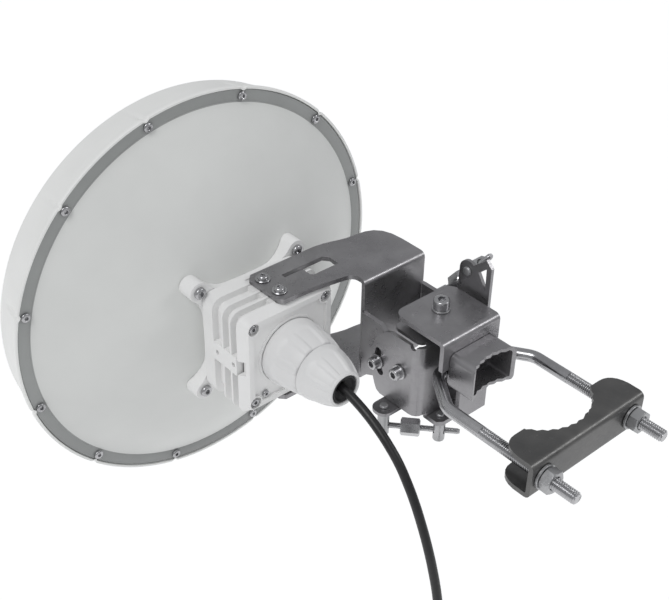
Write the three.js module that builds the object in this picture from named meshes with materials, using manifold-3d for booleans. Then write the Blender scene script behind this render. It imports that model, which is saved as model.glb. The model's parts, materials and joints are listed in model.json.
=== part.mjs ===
// Outdoor wireless bridge: a 35 cm dish radio on a tilting, panning pole clamp.
// Millimetres, +Z up the pole. The origin is on the pole's axis at the height of the U-bolt.
// The dish looks along -Y, and its axis is offset sideways along +X from the pole.

import * as THREE from 'three';
import { mergeVertices } from 'three/addons/utils/BufferGeometryUtils.js';
import Module from 'manifold-3d';

const wasm = await Module();
wasm.setup();

// ---- Driving dimensions -------------------------------------------------------------------

const POLE_R = 42.8; // the pole that the clamp is closed on
const GAP = 0.3; // between touching pieces

// The dish, in its own frame: the origin is the centre of the circle of rim screws, and +Y is
// its back.
const DISH_AT = new THREE.Vector3(93, -281, 0);
const SCREW_CIRCLE_R = 170;
const RIM_SCREWS = 12;
const DISH_R = 164.7; // edge of the reflector's bowl
const DISH_DEPTH = 59;
const DISH_BACK_Y = 58; // back of the bowl at its centre
const DISH_WALL = 1.8;
const FLANGE_R = 175.2; // edge of the reflector's flat flange
const RIM_R = 178;

// The radio box behind the dish.
const RADIO_HALF = 46.5;
const RADIO_CORE = 41; // floor of the grooves beside its fins
const RADIO_FRONT_Y = 61.4;
const FRONT_BAND_Y = 74;
const FIN_Y = [85, 95.2];
const FIN_THICK = 2.2;
const RADIO_BACK_Y = 103.4;
const TOP_PAD_HALF = 11.5;
const SIDE_PAD_HALF = 8.5;
const ARM_SCREW_Y = [78.5, 99.3];
const COVER_FRONT_Y = 104.7;
const COVER_BACK_Y = 111; // its recessed panel
const COVER_RIM_Y = 113;
const COVER_PANEL_HALF = 36.3;
const COVER_SCREW_AT = 35.7;
const GROUND_AT = [25.5, -31.5];
const LUG_SCREW_AT = 48.4;

// The cable gland, on the dish's axis.
const GLAND_JOINT_Y = 146;
const GLAND_END_Y = 178;

// The arm, of 4 mm sheet.
const ARM_SHEET = 4;
const ARM_TOP_Z = 49.5;
const ARM_SEAT_Z = ARM_TOP_Z - ARM_SHEET - GAP;
const ARM_WEB_Y = -149; // its back face
const ARM_WEB_HALF = 33;
const ARM_END_X = 101.4;
const ARM_EAR_X = 35; // outer face of its ears
const ARM_EAR_TOP = 20;
const ARM_EAR_BOTTOM = -40;
const WELD_NUT_X = 26; // inner face of the nuts on its ears

// The tilt bracket, of 3 mm sheet.
const TILT_SHEET = 3;
const TILT_X = 38.4; // outer face of its side plates
const TILT_BACK_Y = -80;
const TILT_TOP_Z = 23;
const TILT_BOTTOM_Z = -44;
const TILT_FLANGE_HALF = 30.5;
const TONGUE_Z = -47.5; // underside of its lower flange and tongue

// The pole bracket, of 4 mm sheet.
const POLE_SHEET = 4;
const POLE_PLATE_HALF = 31;
const POLE_PLATE_Z = 36;
const POLE_WEB_Y = -62.5; // its back face
const POLE_LOW_Z = -52;

// Pivots. The elevation pivot is (y, z); the azimuth pivot is (x, y).
const ELEVATION = [-100.3, -8.5];
const LOCK_BOLT = [-125.5, -12.5];
const SLOT_SWEEP = 21.5; // degrees each way, to the centre of the slot's end
const AZIMUTH = [0, -97];

// The adjusting screws: each has a trunnion at either end.
const TRUNNION_R = 5;
const THREAD_R = 2.6;
const HEX_AF = 13;
const AZ_NEAR = [46.4, -107.6];
const AZ_FAR = [16, -74];
const AZ_ROD_Z = -63.5;
const EL_FRONT = [-140, 8];
const EL_REAR = [-103.8, 53.5];
const EL_ROD_X = -46.8;

// The clamp on the pole.
const U_ROD_R = 5;
const U_LEG_X = 49;
const U_LEG_END_Y = 85;
const U_CROWN_Y = -71.8;
const JAW_HALF = 62;
const JAW_BACK_Y = 55;
const JAW_TIP_Y = 24;
const JAW_HALF_Z = 15.5;
const SADDLE_HALF = 23.5;
const SADDLE_Z = [-9, 23];

// The cable.
const CABLE_R = 3.75;
const COIL_R = 43; // to the middle of its turns
const COIL_ACROSS = 7.9; // half of its bundle, across and along its axis
const COIL_DEEP = 11.9;
const COIL_AT = new THREE.Vector3(93, 59.8, -239);

// ---- Materials ----------------------------------------------------------------------------

function material(color, roughness, metalness) {
  return new THREE.MeshStandardMaterial({ color, roughness, metalness });
}
const whitePlastic = material(0xe4e5e2, 0.5, 0);
const glandPlastic = material(0xd9dad7, 0.55, 0);
const dishPaint = material(0xc6cbc8, 0.55, 0.1);
const radioPaint = material(0xdfe0dd, 0.5, 0.1);
const bracketSteel = material(0x66666a, 0.42, 0.85);
const boltSteel = material(0xb5b6b8, 0.3, 0.95);
const nutSteel = material(0xa9abad, 0.5, 0.8);
const blackRubber = material(0x1c1d1e, 0.75, 0);
const blackJacket = material(0x1b1c1d, 0.5, 0);
const boardGreen = material(0x1f5a3a, 0.55, 0);
const bareAluminium = material(0xb9bcbe, 0.4, 0.9);
const feedPlastic = material(0xe9e6dc, 0.45, 0);

// ---- Solids -------------------------------------------------------------------------------

function signedVolume(geometry) {
  const p = geometry.attributes.position;
  const index = geometry.index.array;
  const [a, b, c] = [new THREE.Vector3(), new THREE.Vector3(), new THREE.Vector3()];
  let volume = 0;
  for (let i = 0; i < index.length; i += 3) {
    a.fromBufferAttribute(p, index[i]);
    b.fromBufferAttribute(p, index[i + 1]);
    c.fromBufferAttribute(p, index[i + 2]);
    volume += a.dot(b.cross(c)) / 6;
  }
  return volume;
}

// A geometry as a manifold solid: shared vertices merged, collapsed faces dropped, faces out.
function solid(source) {
  const bare = source.clone();
  bare.deleteAttribute('normal');
  bare.deleteAttribute('uv');
  const geometry = mergeVertices(bare, 1e-4);
  const old = geometry.index.array;
  const flip = signedVolume(geometry) < 0;
  const faces = [];
  for (let i = 0; i < old.length; i += 3) {
    const [a, b, c] = [old[i], old[i + 1], old[i + 2]];
    if (a === b || b === c || c === a) continue;
    if (flip) faces.push(a, c, b);
    else faces.push(a, b, c);
  }
  return new wasm.Manifold(new wasm.Mesh({
    numProp: 3,
    vertProperties: new Float32Array(geometry.attributes.position.array),
    triVerts: new Uint32Array(faces),
  }));
}

function geometryOf(body) {
  const mesh = body.getMesh();
  const geometry = new THREE.BufferGeometry();
  geometry.setAttribute('position', new THREE.BufferAttribute(mesh.vertProperties, 3));
  geometry.setIndex(new THREE.BufferAttribute(mesh.triVerts, 1));
  geometry.computeVertexNormals();
  return geometry;
}

function join(bodies) {
  return bodies.reduce((whole, body) => whole.add(body));
}

function cut(body, tools) {
  return tools.reduce((whole, tool) => whole.subtract(tool), body);
}

const BASIS = {
  x: [[0, 1, 0], [0, 0, 1], [1, 0, 0]],
  y: [[1, 0, 0], [0, 0, 1], [0, -1, 0]],
  z: [[1, 0, 0], [0, 1, 0], [0, 0, 1]],
};

// A shape drawn in the plane across an axis, as (y, z), (x, z) or (x, y), and pushed along it.
function prism(shape, axis, from, to, segments = 8) {
  const geometry = new THREE.ExtrudeGeometry(shape, {
    depth: to - from,
    bevelEnabled: false,
    curveSegments: segments,
  });
  const [u, v, w] = BASIS[axis].map((column) => new THREE.Vector3(...column));
  geometry.applyMatrix4(new THREE.Matrix4().makeBasis(u, v, w));
  if (axis === 'x') geometry.translate(from, 0, 0);
  if (axis === 'y') geometry.translate(0, to, 0);
  if (axis === 'z') geometry.translate(0, 0, from);
  return solid(geometry);
}

function disc(centre, radius) {
  return new THREE.Shape().absarc(centre[0], centre[1], radius, 0, 2 * Math.PI, false);
}

function cylinder(axis, centre, radius, from, to, segments = 8) {
  return prism(disc(centre, radius), axis, from, to, segments);
}

function ring(axis, centre, outer, inner, from, to, segments = 8) {
  const shape = disc(centre, outer);
  shape.holes.push(disc(centre, inner));
  return prism(shape, axis, from, to, segments);
}

function hexagon(centre, acrossFlats, turn = 0) {
  const points = [];
  for (let i = 0; i < 6; i += 1) {
    const angle = turn + (i * Math.PI) / 3;
    const radius = acrossFlats / Math.sqrt(3);
    points.push(new THREE.Vector2(
      centre[0] + radius * Math.cos(angle),
      centre[1] + radius * Math.sin(angle),
    ));
  }
  return new THREE.Shape(points);
}

function polygon(points) {
  return new THREE.Shape(points.map(([u, v]) => new THREE.Vector2(u, v)));
}

// A rectangle from (u0, v0) to (u1, v1) with round corners.
function slab(u0, v0, u1, v1, radius = 0) {
  if (radius === 0) return polygon([[u0, v0], [u1, v0], [u1, v1], [u0, v1]]);
  const shape = new THREE.Shape();
  shape.absarc(u1 - radius, v1 - radius, radius, 0, Math.PI / 2, false);
  shape.absarc(u0 + radius, v1 - radius, radius, Math.PI / 2, Math.PI, false);
  shape.absarc(u0 + radius, v0 + radius, radius, Math.PI, 1.5 * Math.PI, false);
  shape.absarc(u1 - radius, v0 + radius, radius, 1.5 * Math.PI, 2 * Math.PI, false);
  return shape;
}

function block(x0, x1, y0, y1, z0, z1) {
  return prism(slab(x0, y0, x1, y1), 'z', z0, z1);
}

// A solid of revolution about the Y axis; the profile is a list of [radius, y].
function turned(profile, segments = 42) {
  const points = profile.map(([r, y]) => new THREE.Vector2(r, y));
  return solid(new THREE.LatheGeometry(points, segments));
}

// Sheet bent to a U across a plane: two legs from open to back, joined by a back wall.
// The corner radius is the outer one.
function channelShape(half, open, back, sheet, radius) {
  const sign = Math.sign(back - open);
  const inner = radius - sheet;
  const shape = new THREE.Shape();
  const corner = (u, v, r, from, to) => {
    for (let i = 0; i <= 4; i += 1) {
      const angle = from + ((to - from) * i) / 4;
      shape.lineTo(u + r * Math.cos(angle), v + sign * r * Math.sin(angle));
    }
  };
  shape.moveTo(half, open);
  corner(half - radius, back - sign * radius, radius, 0, Math.PI / 2);
  corner(-half + radius, back - sign * radius, radius, Math.PI / 2, Math.PI);
  shape.lineTo(-half, open);
  shape.lineTo(-half + sheet, open);
  corner(-half + radius, back - sign * radius, inner, Math.PI, Math.PI / 2);
  corner(half - radius, back - sign * radius, inner, Math.PI / 2, 0);
  shape.lineTo(half - sheet, open);
  shape.closePath();
  return shape;
}

// ---- Fasteners ----------------------------------------------------------------------------

// Turns a list of [radius, along] into a solid about an axis through a centre. The profile
// starts and ends on the axis.
function spun(axis, centre, profile, segments = 12) {
  const points = profile.map(([r, s]) => new THREE.Vector2(r, s));
  const geometry = new THREE.LatheGeometry(points, segments);
  if (axis === 'x') geometry.rotateZ(-Math.PI / 2);
  if (axis === 'z') geometry.rotateX(Math.PI / 2);
  if (axis === 'x') geometry.translate(0, centre[0], centre[1]);
  if (axis === 'y') geometry.translate(centre[0], 0, centre[1]);
  if (axis === 'z') geometry.translate(centre[0], centre[1], 0);
  return solid(geometry);
}

// A domed screw with a hexagon recess. seat is where the head rests, tip is the shank's end.
// Its head may have a wide flange at its foot.
function panScrew(axis, centre, seat, tip, headR, headH, shankR, flangeR = headR) {
  const out = Math.sign(seat - tip);
  const foot = flangeR > headR ? 0.9 : 0.2;
  const body = spun(axis, centre, [
    [0, tip],
    [shankR, tip],
    [shankR, seat],
    [flangeR, seat],
    [flangeR, seat + out * foot],
    [headR, seat + out * (foot + 0.01)],
    [headR * 0.95, seat + out * headH * 0.55],
    [headR * 0.6, seat + out * headH],
    [0, seat + out * headH],
  ]);
  const top = seat + out * headH;
  const deep = top - out * headH * 0.55;
  const [from, to] = [Math.min(top + out, deep), Math.max(top + out, deep)];
  return body.subtract(prism(hexagon(centre, headR * 0.85), axis, from, to));
}

// A socket cap screw with a hexagon recess. It may carry a washer under its round head.
function capScrew(axis, centre, seat, tip, headR, headH, shankR, washerR = headR) {
  const out = Math.sign(seat - tip);
  const washer = washerR > headR ? 1.5 : 0.1;
  const top = seat + out * (washer + headH);
  const body = spun(axis, centre, [
    [0, tip],
    [shankR, tip],
    [shankR, seat],
    [washerR, seat],
    [washerR, seat + out * washer],
    [headR, seat + out * (washer + 0.01)],
    [headR, top - out * 0.8],
    [headR - 0.8, top],
    [0, top],
  ]);
  const deep = top - out * headH * 0.5;
  const [from, to] = [Math.min(top + out, deep), Math.max(top + out, deep)];
  return body.subtract(prism(hexagon(centre, headR), axis, from, to));
}

function hexNut(axis, centre, acrossFlats, bore, from, to, turn = 0) {
  const shape = hexagon(centre, acrossFlats, turn);
  shape.holes.push(disc(centre, bore));
  return prism(shape, axis, from, to);
}

// ---- The object ---------------------------------------------------------------------------

const bridge = new THREE.Group();
const dish = new THREE.Group();
dish.position.copy(DISH_AT);
bridge.add(dish);

function add(parent, name, body, look) {
  const mesh = new THREE.Mesh(geometryOf(body), look);
  mesh.name = name;
  parent.add(mesh);
  return mesh;
}

function fourCorners(distance) {
  return [[1, 1], [1, -1], [-1, -1], [-1, 1]].map(([u, v]) => [u * distance, v * distance]);
}

function bowlBack(r) {
  return DISH_BACK_Y - DISH_DEPTH * (r / DISH_R) ** 2;
}

function radome() {
  const ledge = FLANGE_R + 0.5;
  add(dish, 'radome', turned([
    [0, -50], [90, -48.8], [150, -46], [165, -43], [170.4, -38], [176.2, -5], [RIM_R, -4.2],
    [RIM_R, 0], [ledge, 0], [ledge, -5.3], [164.5, -5.3], [164.5, -14], [171.4, -17],
    [166, -39], [90, -46.2], [0, -47.5],
  ]), whitePlastic);
}

// A seal inside the circle of rim screws.
function rimGasket() {
  const [inner, outer] = [165, 167.4];
  const seal = [[inner, -5], [outer, -5], [outer, -3.3], [inner, -3.3], [inner, -5]];
  add(dish, 'rim_gasket', turned(seal), blackRubber);
}

function reflector() {
  const back = [];
  const steps = 7;
  for (let i = 0; i <= steps; i += 1) {
    const r = 14 + ((DISH_R - 14) * i) / steps;
    back.push([r, bowlBack(r)]);
  }
  const front = back.map(([r, y]) => [r, y - DISH_WALL]).reverse();
  const profile = [...back, [FLANGE_R, -1.2], [FLANGE_R, -3], ...front, back[0]];
  const rimHoles = [];
  for (let i = 0; i < RIM_SCREWS; i += 1) {
    const angle = ((i + 0.5) * 2 * Math.PI) / RIM_SCREWS;
    const at = [SCREW_CIRCLE_R * Math.sin(angle), SCREW_CIRCLE_R * Math.cos(angle)];
    rimHoles.push(cylinder('y', at, 2.2, -4, 0, 3));
  }
  const holes = fourCorners(LUG_SCREW_AT).map((at) => cylinder('y', at, 2.9, 35, 60, 4));
  add(dish, 'reflector', cut(turned(profile), [...rimHoles, ...holes]), dishPaint);
}

// A square with hollow sides and a round lug at each corner.
function adapterShape() {
  const shape = new THREE.Shape();
  const lug = 8.5;
  const waist = 41;
  for (let i = 0; i < 4; i += 1) {
    const angle = (i * Math.PI) / 2;
    const turn = (u, v) => [
      u * Math.cos(angle) - v * Math.sin(angle),
      u * Math.sin(angle) + v * Math.cos(angle),
    ];
    const [cx, cy] = turn(LUG_SCREW_AT, LUG_SCREW_AT);
    shape.absarc(cx, cy, lug, angle - Math.PI / 4, angle + (3 * Math.PI) / 4, false);
    const [ax, ay] = turn(20, waist + 1);
    const [bx, by] = turn(-20, waist + 1);
    const [px, py] = turn(34, waist + 2);
    const [qx, qy] = turn(-34, waist + 2);
    const [ex, ey] = turn(-LUG_SCREW_AT + lug * Math.SQRT1_2, LUG_SCREW_AT + lug * Math.SQRT1_2);
    shape.quadraticCurveTo(px, py, ax, ay);
    shape.lineTo(bx, by);
    shape.quadraticCurveTo(qx, qy, ex, ey);
  }
  return shape;
}

function adapterFlange() {
  const bowl = [[0, 20], [100, 20]];
  const steps = 6;
  for (let i = 0; i <= steps; i += 1) {
    const r = 100 * (1 - i / steps);
    bowl.push([r, bowlBack(r) + GAP]);
  }
  const plate = prism(adapterShape(), 'y', 46, RADIO_FRONT_Y - 0.4, 6);
  const holes = [
    cylinder('y', [0, 0], 13, 40, 62, 8),
    ...fourCorners(LUG_SCREW_AT).map((at) => cylinder('y', at, 2.9, 40, 62, 4)),
  ];
  add(dish, 'adapter_flange', cut(plate, [turned(bowl, 30), ...holes]), whitePlastic);
}

// Four screws hold the flange and the bowl to a ring inside the bowl.
function flangeScrews() {
  fourCorners(LUG_SCREW_AT).forEach((at, i) => {
    add(dish, `flange_screw_${i + 1}`,
      panScrew('y', at, RADIO_FRONT_Y - 0.1, 37, 5, 3.2, 2.5), boltSteel);
  });
  const middle = LUG_SCREW_AT * Math.SQRT2;
  const [inner, outer] = [middle - 10, middle + 10];
  const front = (r) => bowlBack(r) - DISH_WALL - GAP;
  const low = front(outer) - 3.5;
  const ringBody = turned([
    [inner, low], [outer, low], [outer, front(outer)], [middle, front(middle)],
    [inner, front(inner)], [inner, low],
  ], 30);
  const holes = fourCorners(LUG_SCREW_AT).map((at) => cylinder('y', at, 2.8, 30, 60, 4));
  add(dish, 'backing_ring', cut(ringBody, holes), bareAluminium);
}

// What the arm's plates rest on: the tools that flatten the box's top and bottom under them.
function armSeats() {
  const armEnd = ARM_END_X - DISH_AT.x + 0.8;
  return [
    block(-60, armEnd, 67, COVER_RIM_Y, ARM_SEAT_Z, 60),
    block(-60, armEnd, 67, COVER_RIM_Y, -60, -ARM_SEAT_Z),
  ];
}

// A box with a wide band in front and two fins behind it, open at the back. Flat pads cross
// the fins on all four sides.
function radioHousing() {
  const outer = slab(-RADIO_HALF, -RADIO_HALF, RADIO_HALF, RADIO_HALF, 9);
  const core = prism(slab(-RADIO_CORE, -RADIO_CORE, RADIO_CORE, RADIO_CORE, 7), 'y',
    RADIO_FRONT_Y, RADIO_BACK_Y, 2);
  const band = prism(outer, 'y', RADIO_FRONT_Y, FRONT_BAND_Y, 3);
  const fins = FIN_Y.map((y) => prism(outer, 'y', y, y + FIN_THICK, 3));
  const [padFront, padBack] = [FRONT_BAND_Y - 1, RADIO_BACK_Y];
  const [top, side] = [TOP_PAD_HALF, SIDE_PAD_HALF];
  const pads = [
    block(-top, top, padFront, padBack, -ARM_SEAT_Z, ARM_SEAT_Z),
    block(-RADIO_HALF, RADIO_HALF, padFront, padBack, -side, side),
  ];
  const hollow = prism(slab(-36, -36, 36, 36, 4), 'y', 66, RADIO_BACK_Y + 1, 2);
  const bosses = fourCorners(COVER_SCREW_AT).map((at) => (
    cylinder('y', at, 4.5, 90, RADIO_BACK_Y, 3)
  ));
  const holes = [
    cylinder('y', [0, 0], 9.6, 60, 67, 10),
    ...fourCorners(COVER_SCREW_AT).map((at) => cylinder('y', at, 1.9, 92, 107, 3)),
  ];
  for (const y of ARM_SCREW_Y) {
    holes.push(cylinder('z', [0, y], 2.6, 37, 50, 4));
    holes.push(cylinder('z', [0, y], 2.6, -50, -37, 4));
    holes.push(cylinder('x', [y, 0], 2.2, 38, 50, 4));
    holes.push(cylinder('x', [y, 0], 2.2, -50, -38, 4));
  }
  const shell = cut(join([core, band, ...fins, ...pads]), [...armSeats(), hollow]);
  add(dish, 'radio_housing', cut(join([shell, ...bosses]), holes), radioPaint);
}

function radioInside() {
  const seal = slab(-40.4, -40.4, 40.4, 40.4, 6.5);
  seal.holes.push(slab(-36.6, -36.6, 36.6, 36.6, 12));
  const sealHoles = fourCorners(COVER_SCREW_AT).map((at) => cylinder('y', at, 2.1, 103, 105, 3));
  add(dish, 'cover_gasket',
    cut(prism(seal, 'y', RADIO_BACK_Y + GAP, COVER_FRONT_Y - GAP, 2), sealHoles), blackRubber);

  const spreader = block(-30, 30, 66.5, 71, -30, 30);
  const post = block(-8, 8, 71, 84, 14, 28);
  add(dish, 'heat_spreader',
    cut(join([spreader, post]), [cylinder('y', [0, 0], 10.2, 60, 75, 10)]), bareAluminium);

  const launcher = cut(block(-13, 13, 74, 84, -12, 12), [
    cylinder('y', [0, 0], 6.5, 70, 80, 10),
  ]);
  add(dish, 'radio_module', launcher, bareAluminium);
  add(dish, 'circuit_board', prism(slab(-34, -34, 34, 34, 2), 'y', 84.4, 86, 3), boardGreen);

  const jack = cut(block(-8, 8, 86.4, 102.5, -7, 7), [
    block(-6.1, 6.1, 90.5, 104, -4.4, 4.4),
  ]);
  add(dish, 'ethernet_jack', jack, blackRubber);
}

// A square block whose sides slope inward to its back.
function slopedBlock() {
  const [slope, inset] = [8, 5.3];
  const outer = slab(-RADIO_HALF, -RADIO_HALF, RADIO_HALF, RADIO_HALF, 9);
  const geometry = new THREE.ExtrudeGeometry(outer, {
    depth: 4,
    bevelEnabled: true,
    bevelThickness: slope,
    bevelSize: inset,
    bevelOffset: -inset,
    bevelSegments: 1,
    curveSegments: 3,
  });
  geometry.rotateX(Math.PI / 2);
  geometry.translate(0, COVER_RIM_Y - slope, 0);
  return solid(geometry).intersect(block(-60, 60, COVER_FRONT_Y, COVER_RIM_Y + 1, -60, 60));
}

// The rear cover: a rim round a recessed panel, with a round pocket for a screw in each corner.
function rearCover() {
  const half = COVER_PANEL_HALF;
  const pockets = fourCorners(COVER_SCREW_AT);
  const panel = cut(
    prism(slab(-half, -half, half, half, 3), 'y', COVER_BACK_Y, COVER_RIM_Y + 1, 2),
    pockets.map((at) => cylinder('y', at, 6.5, COVER_BACK_Y - 1, COVER_RIM_Y + 2, 6)),
  );
  const inside = cut(
    prism(slab(-36.8, -36.8, 36.8, 36.8, 5), 'y', COVER_FRONT_Y - 1, COVER_BACK_Y - 3.8, 2),
    pockets.map((at) => cylinder('y', at, 5.4, 100, 112, 4)),
  );
  const step = ring('y', [0, 0], 31, 29, COVER_BACK_Y - 0.5, COVER_BACK_Y + 1, 10);
  const notch = [RADIO_HALF - 6, 60, COVER_FRONT_Y - 1, 110.3];
  const tools = [
    panel,
    inside,
    ...armSeats(),
    block(...notch, -6.7, 6.7),
    block(-notch[1], -notch[0], notch[2], notch[3], -6.7, 6.7),
    cylinder('y', [0, 0], 14.6, 100, 115, 10),
    ...pockets.map((at) => cylinder('y', at, 1.9, 100, 115, 3)),
    ...pockets.map((at) => cylinder('y', at, 5.3, COVER_BACK_Y - 1.2, COVER_RIM_Y + 2, 6)),
    cylinder('y', GROUND_AT, 1.9, 105, 112, 4),
  ];
  add(dish, 'rear_cover', join([cut(slopedBlock(), tools), step]), radioPaint);
  add(dish, 'ground_screw',
    panScrew('y', GROUND_AT, COVER_BACK_Y + GAP, 107.8, 3, 2.2, 1.6), boltSteel);
}

function gland() {
  const body = turned([
    [11.6, 102.4], [14.2, 102.4], [14.2, COVER_BACK_Y + GAP], [28, COVER_BACK_Y + GAP], [28.4, 116],
    [27.6, 130], [26, 140], [24.6, GLAND_JOINT_Y], [16.6, GLAND_JOINT_Y + GAP], [16.6, 160],
    [11.6, 160], [11.6, 102.4],
  ], 24);
  add(dish, 'gland_body', body, glandPlastic);
  add(dish, 'gland_locknut', hexNut('y', [0, 0], 36, 14.5, 102.9, 106.9), nutSteel);

  const cap = turned([
    [17, GLAND_JOINT_Y + 0.7], [23.6, GLAND_JOINT_Y + 0.7], [23.4, 152], [21.5, 160],
    [17.4, 172], [14.8, GLAND_END_Y], [12.4, GLAND_END_Y], [12.4, 162], [17, 161],
    [17, GLAND_JOINT_Y + 0.7],
  ], 24);
  add(dish, 'gland_cap', cap, glandPlastic);

  const seal = turned([
    [4.2, 161], [11.9, 161.6], [11.9, 177], [10.6, 177.6], [9.4, 175], [4.2, 172], [4.2, 161],
  ], 16);
  add(dish, 'gland_seal', seal, blackRubber);

  const plug = join([
    block(-5.8, 5.8, 91, 110, -4, 4),
    cylinder('y', [0, 0], CABLE_R, 109, 158.5, 5),
  ]);
  add(dish, 'ethernet_plug', plug, feedPlastic);
}

function feed() {
  add(dish, 'feed_tube', ring('y', [0, 0], 9, 6.2, -24, 73.6, 12), bareAluminium);
  const lens = turned([
    [0, -12], [5.8, -12], [5.8, -24.3], [8.6, -24.3], [22, -33], [22, -34.2], [0, -34.2],
  ], 20);
  add(dish, 'feed_lens', lens, feedPlastic);
  add(dish, 'subreflector', turned([
    [0, -34.6], [24, -34.6], [24, -36.4], [12, -37.4], [0, -40],
  ], 20), bareAluminium);
}

// ---- Arm ----------------------------------------------------------------------------------

// The arm's top plate, drawn in the row's (x, y).
function armPlateShape() {
  const shape = new THREE.Shape();
  shape.moveTo(-ARM_WEB_HALF, -155);
  shape.lineTo(-ARM_WEB_HALF, -176);
  shape.bezierCurveTo(-ARM_WEB_HALF, -198, -24, -205, -8, -205.5);
  shape.bezierCurveTo(10, -206, 14, -212, 32, -213.5);
  shape.lineTo(97, -213.5);
  shape.lineTo(ARM_END_X, -209);
  shape.lineTo(ARM_END_X, -174);
  shape.lineTo(97, -169.5);
  shape.lineTo(80, -169.3);
  shape.bezierCurveTo(60, -168.5, 48, -165, 40, -164);
  shape.bezierCurveTo(34, -162.5, ARM_WEB_HALF, -160, ARM_WEB_HALF, -155);
  shape.closePath();
  return shape;
}

// A narrow slot that opens into a wider window, lightening the plate.
function armWindow() {
  return polygon([
    [78, -197.8], [36, -197.8], [32, -193], [32.5, -182], [58, -182], [60, -184],
    [60, -193.5], [78, -193.5],
  ]);
}

function earShape() {
  const [y, z] = ELEVATION;
  const shape = new THREE.Shape();
  shape.moveTo(ARM_WEB_Y - 8, ARM_EAR_BOTTOM);
  shape.lineTo(ARM_WEB_Y + 4, ARM_EAR_BOTTOM);
  shape.absarc(y, z, 14, -Math.PI * 0.62, Math.PI * 0.42, false);
  shape.lineTo(-118, ARM_EAR_TOP - 7);
  shape.lineTo(-128, ARM_EAR_TOP);
  shape.lineTo(ARM_WEB_Y - 8, ARM_EAR_TOP);
  shape.closePath();
  return shape;
}

function armBracket() {
  const plates = [];
  for (const low of [ARM_TOP_Z - ARM_SHEET, -ARM_TOP_Z]) {
    const high = low + ARM_SHEET;
    plates.push(cut(prism(armPlateShape(), 'z', low, high, 5),
      [prism(armWindow(), 'z', low - 1, high + 1)]));
  }
  const across = channelShape(ARM_TOP_Z, -156, ARM_WEB_Y, ARM_SHEET, 5);
  const web = channelAlongX(across, -ARM_WEB_HALF, ARM_WEB_HALF);
  const earPlan = channelShape(ARM_EAR_X, -80, ARM_WEB_Y - ARM_SHEET, ARM_SHEET, 5);
  const ears = prism(earPlan, 'z', ARM_EAR_BOTTOM, ARM_EAR_TOP).intersect(
    prism(earShape(), 'x', -50, 50, 10));
  const weldNuts = [];
  for (const centre of [ELEVATION, LOCK_BOLT]) {
    const turn = centre === LOCK_BOLT ? 0.3 : 0;
    weldNuts.push(prism(hexagon(centre, 10, turn), 'x', WELD_NUT_X, ARM_EAR_X - 2));
    weldNuts.push(prism(hexagon(centre, 10, turn), 'x', 2 - ARM_EAR_X, -WELD_NUT_X));
  }
  const holes = [
    cylinder('x', ELEVATION, 3.3, -40, 40, 6),
    cylinder('x', LOCK_BOLT, 3.3, -40, 40, 6),
    cylinder('x', EL_FRONT, 2.4, -40, -30, 6),
  ];
  for (const y of ARM_SCREW_Y) {
    holes.push(cylinder('z', [DISH_AT.x, DISH_AT.y + y], 2.8, -60, 60, 6));
  }
  const whole = join([...plates, web, ears, ...weldNuts]);
  add(bridge, 'arm_bracket', cut(whole, holes), bracketSteel);
}

// A channel section drawn as (z, y), run along X.
function channelAlongX(shape, from, to) {
  const points = shape.getPoints(4).map((p) => new THREE.Vector2(p.y, p.x));
  return prism(new THREE.Shape(points), 'x', from, to);
}

function armScrews() {
  for (const [name, side] of [['top', 1], ['bottom', -1]]) {
    ARM_SCREW_Y.forEach((y, i) => {
      const seat = side * (ARM_TOP_Z + GAP);
      add(bridge, `arm_screw_${name}_${i + 1}`,
        panScrew('z', [DISH_AT.x, DISH_AT.y + y], seat, side * 38, 4.4, 3.8, 2.3, 6.3), boltSteel);
    });
  }
}

// ---- Tilt bracket -------------------------------------------------------------------------

// An arc-shaped slot about the elevation pivot.
function slotShape() {
  const [y, z] = ELEVATION;
  const radius = Math.hypot(LOCK_BOLT[0] - y, LOCK_BOLT[1] - z);
  const middle = Math.atan2(LOCK_BOLT[1] - z, LOCK_BOLT[0] - y);
  const sweep = THREE.MathUtils.degToRad(SLOT_SWEEP);
  const half = 3.5;
  const [from, to] = [middle - sweep, middle + sweep];
  const shape = new THREE.Shape();
  shape.absarc(y, z, radius + half, from, to, false);
  shape.absarc(y + radius * Math.cos(to), z + radius * Math.sin(to), half, to, to + Math.PI, false);
  shape.absarc(y, z, radius - half, to, from, true);
  shape.absarc(y + radius * Math.cos(from), z + radius * Math.sin(from), half,
    from + Math.PI, from + 2 * Math.PI, false);
  return shape;
}

function tiltSideShape() {
  const shape = new THREE.Shape();
  shape.moveTo(TILT_BACK_Y + 5, TILT_TOP_Z);
  shape.lineTo(-112, TILT_TOP_Z);
  shape.bezierCurveTo(-122, 20, -132.5, 8, -133, -8);
  shape.bezierCurveTo(-133.5, -22, -131, -33, -126, -42);
  shape.lineTo(-122, TILT_BOTTOM_Z);
  shape.lineTo(TILT_BACK_Y + 5, TILT_BOTTOM_Z);
  shape.closePath();
  return shape;
}

// The ear above the far side plate that holds the rear trunnion of the elevation screw.
function tiltEarShape() {
  const [y, z] = EL_REAR;
  const shape = new THREE.Shape();
  shape.moveTo(TILT_BACK_Y, 20);
  shape.lineTo(TILT_BACK_Y, 66);
  shape.lineTo(-86, 72);
  shape.absarc(y, z, 9, Math.PI * 0.3, Math.PI, false);
  shape.lineTo(-113, 30);
  shape.lineTo(-113, 20);
  shape.closePath();
  const window = polygon([[-93, 57], [-85, 64], [-84.5, 44]]);
  shape.holes.push(window);
  return shape;
}

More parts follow.
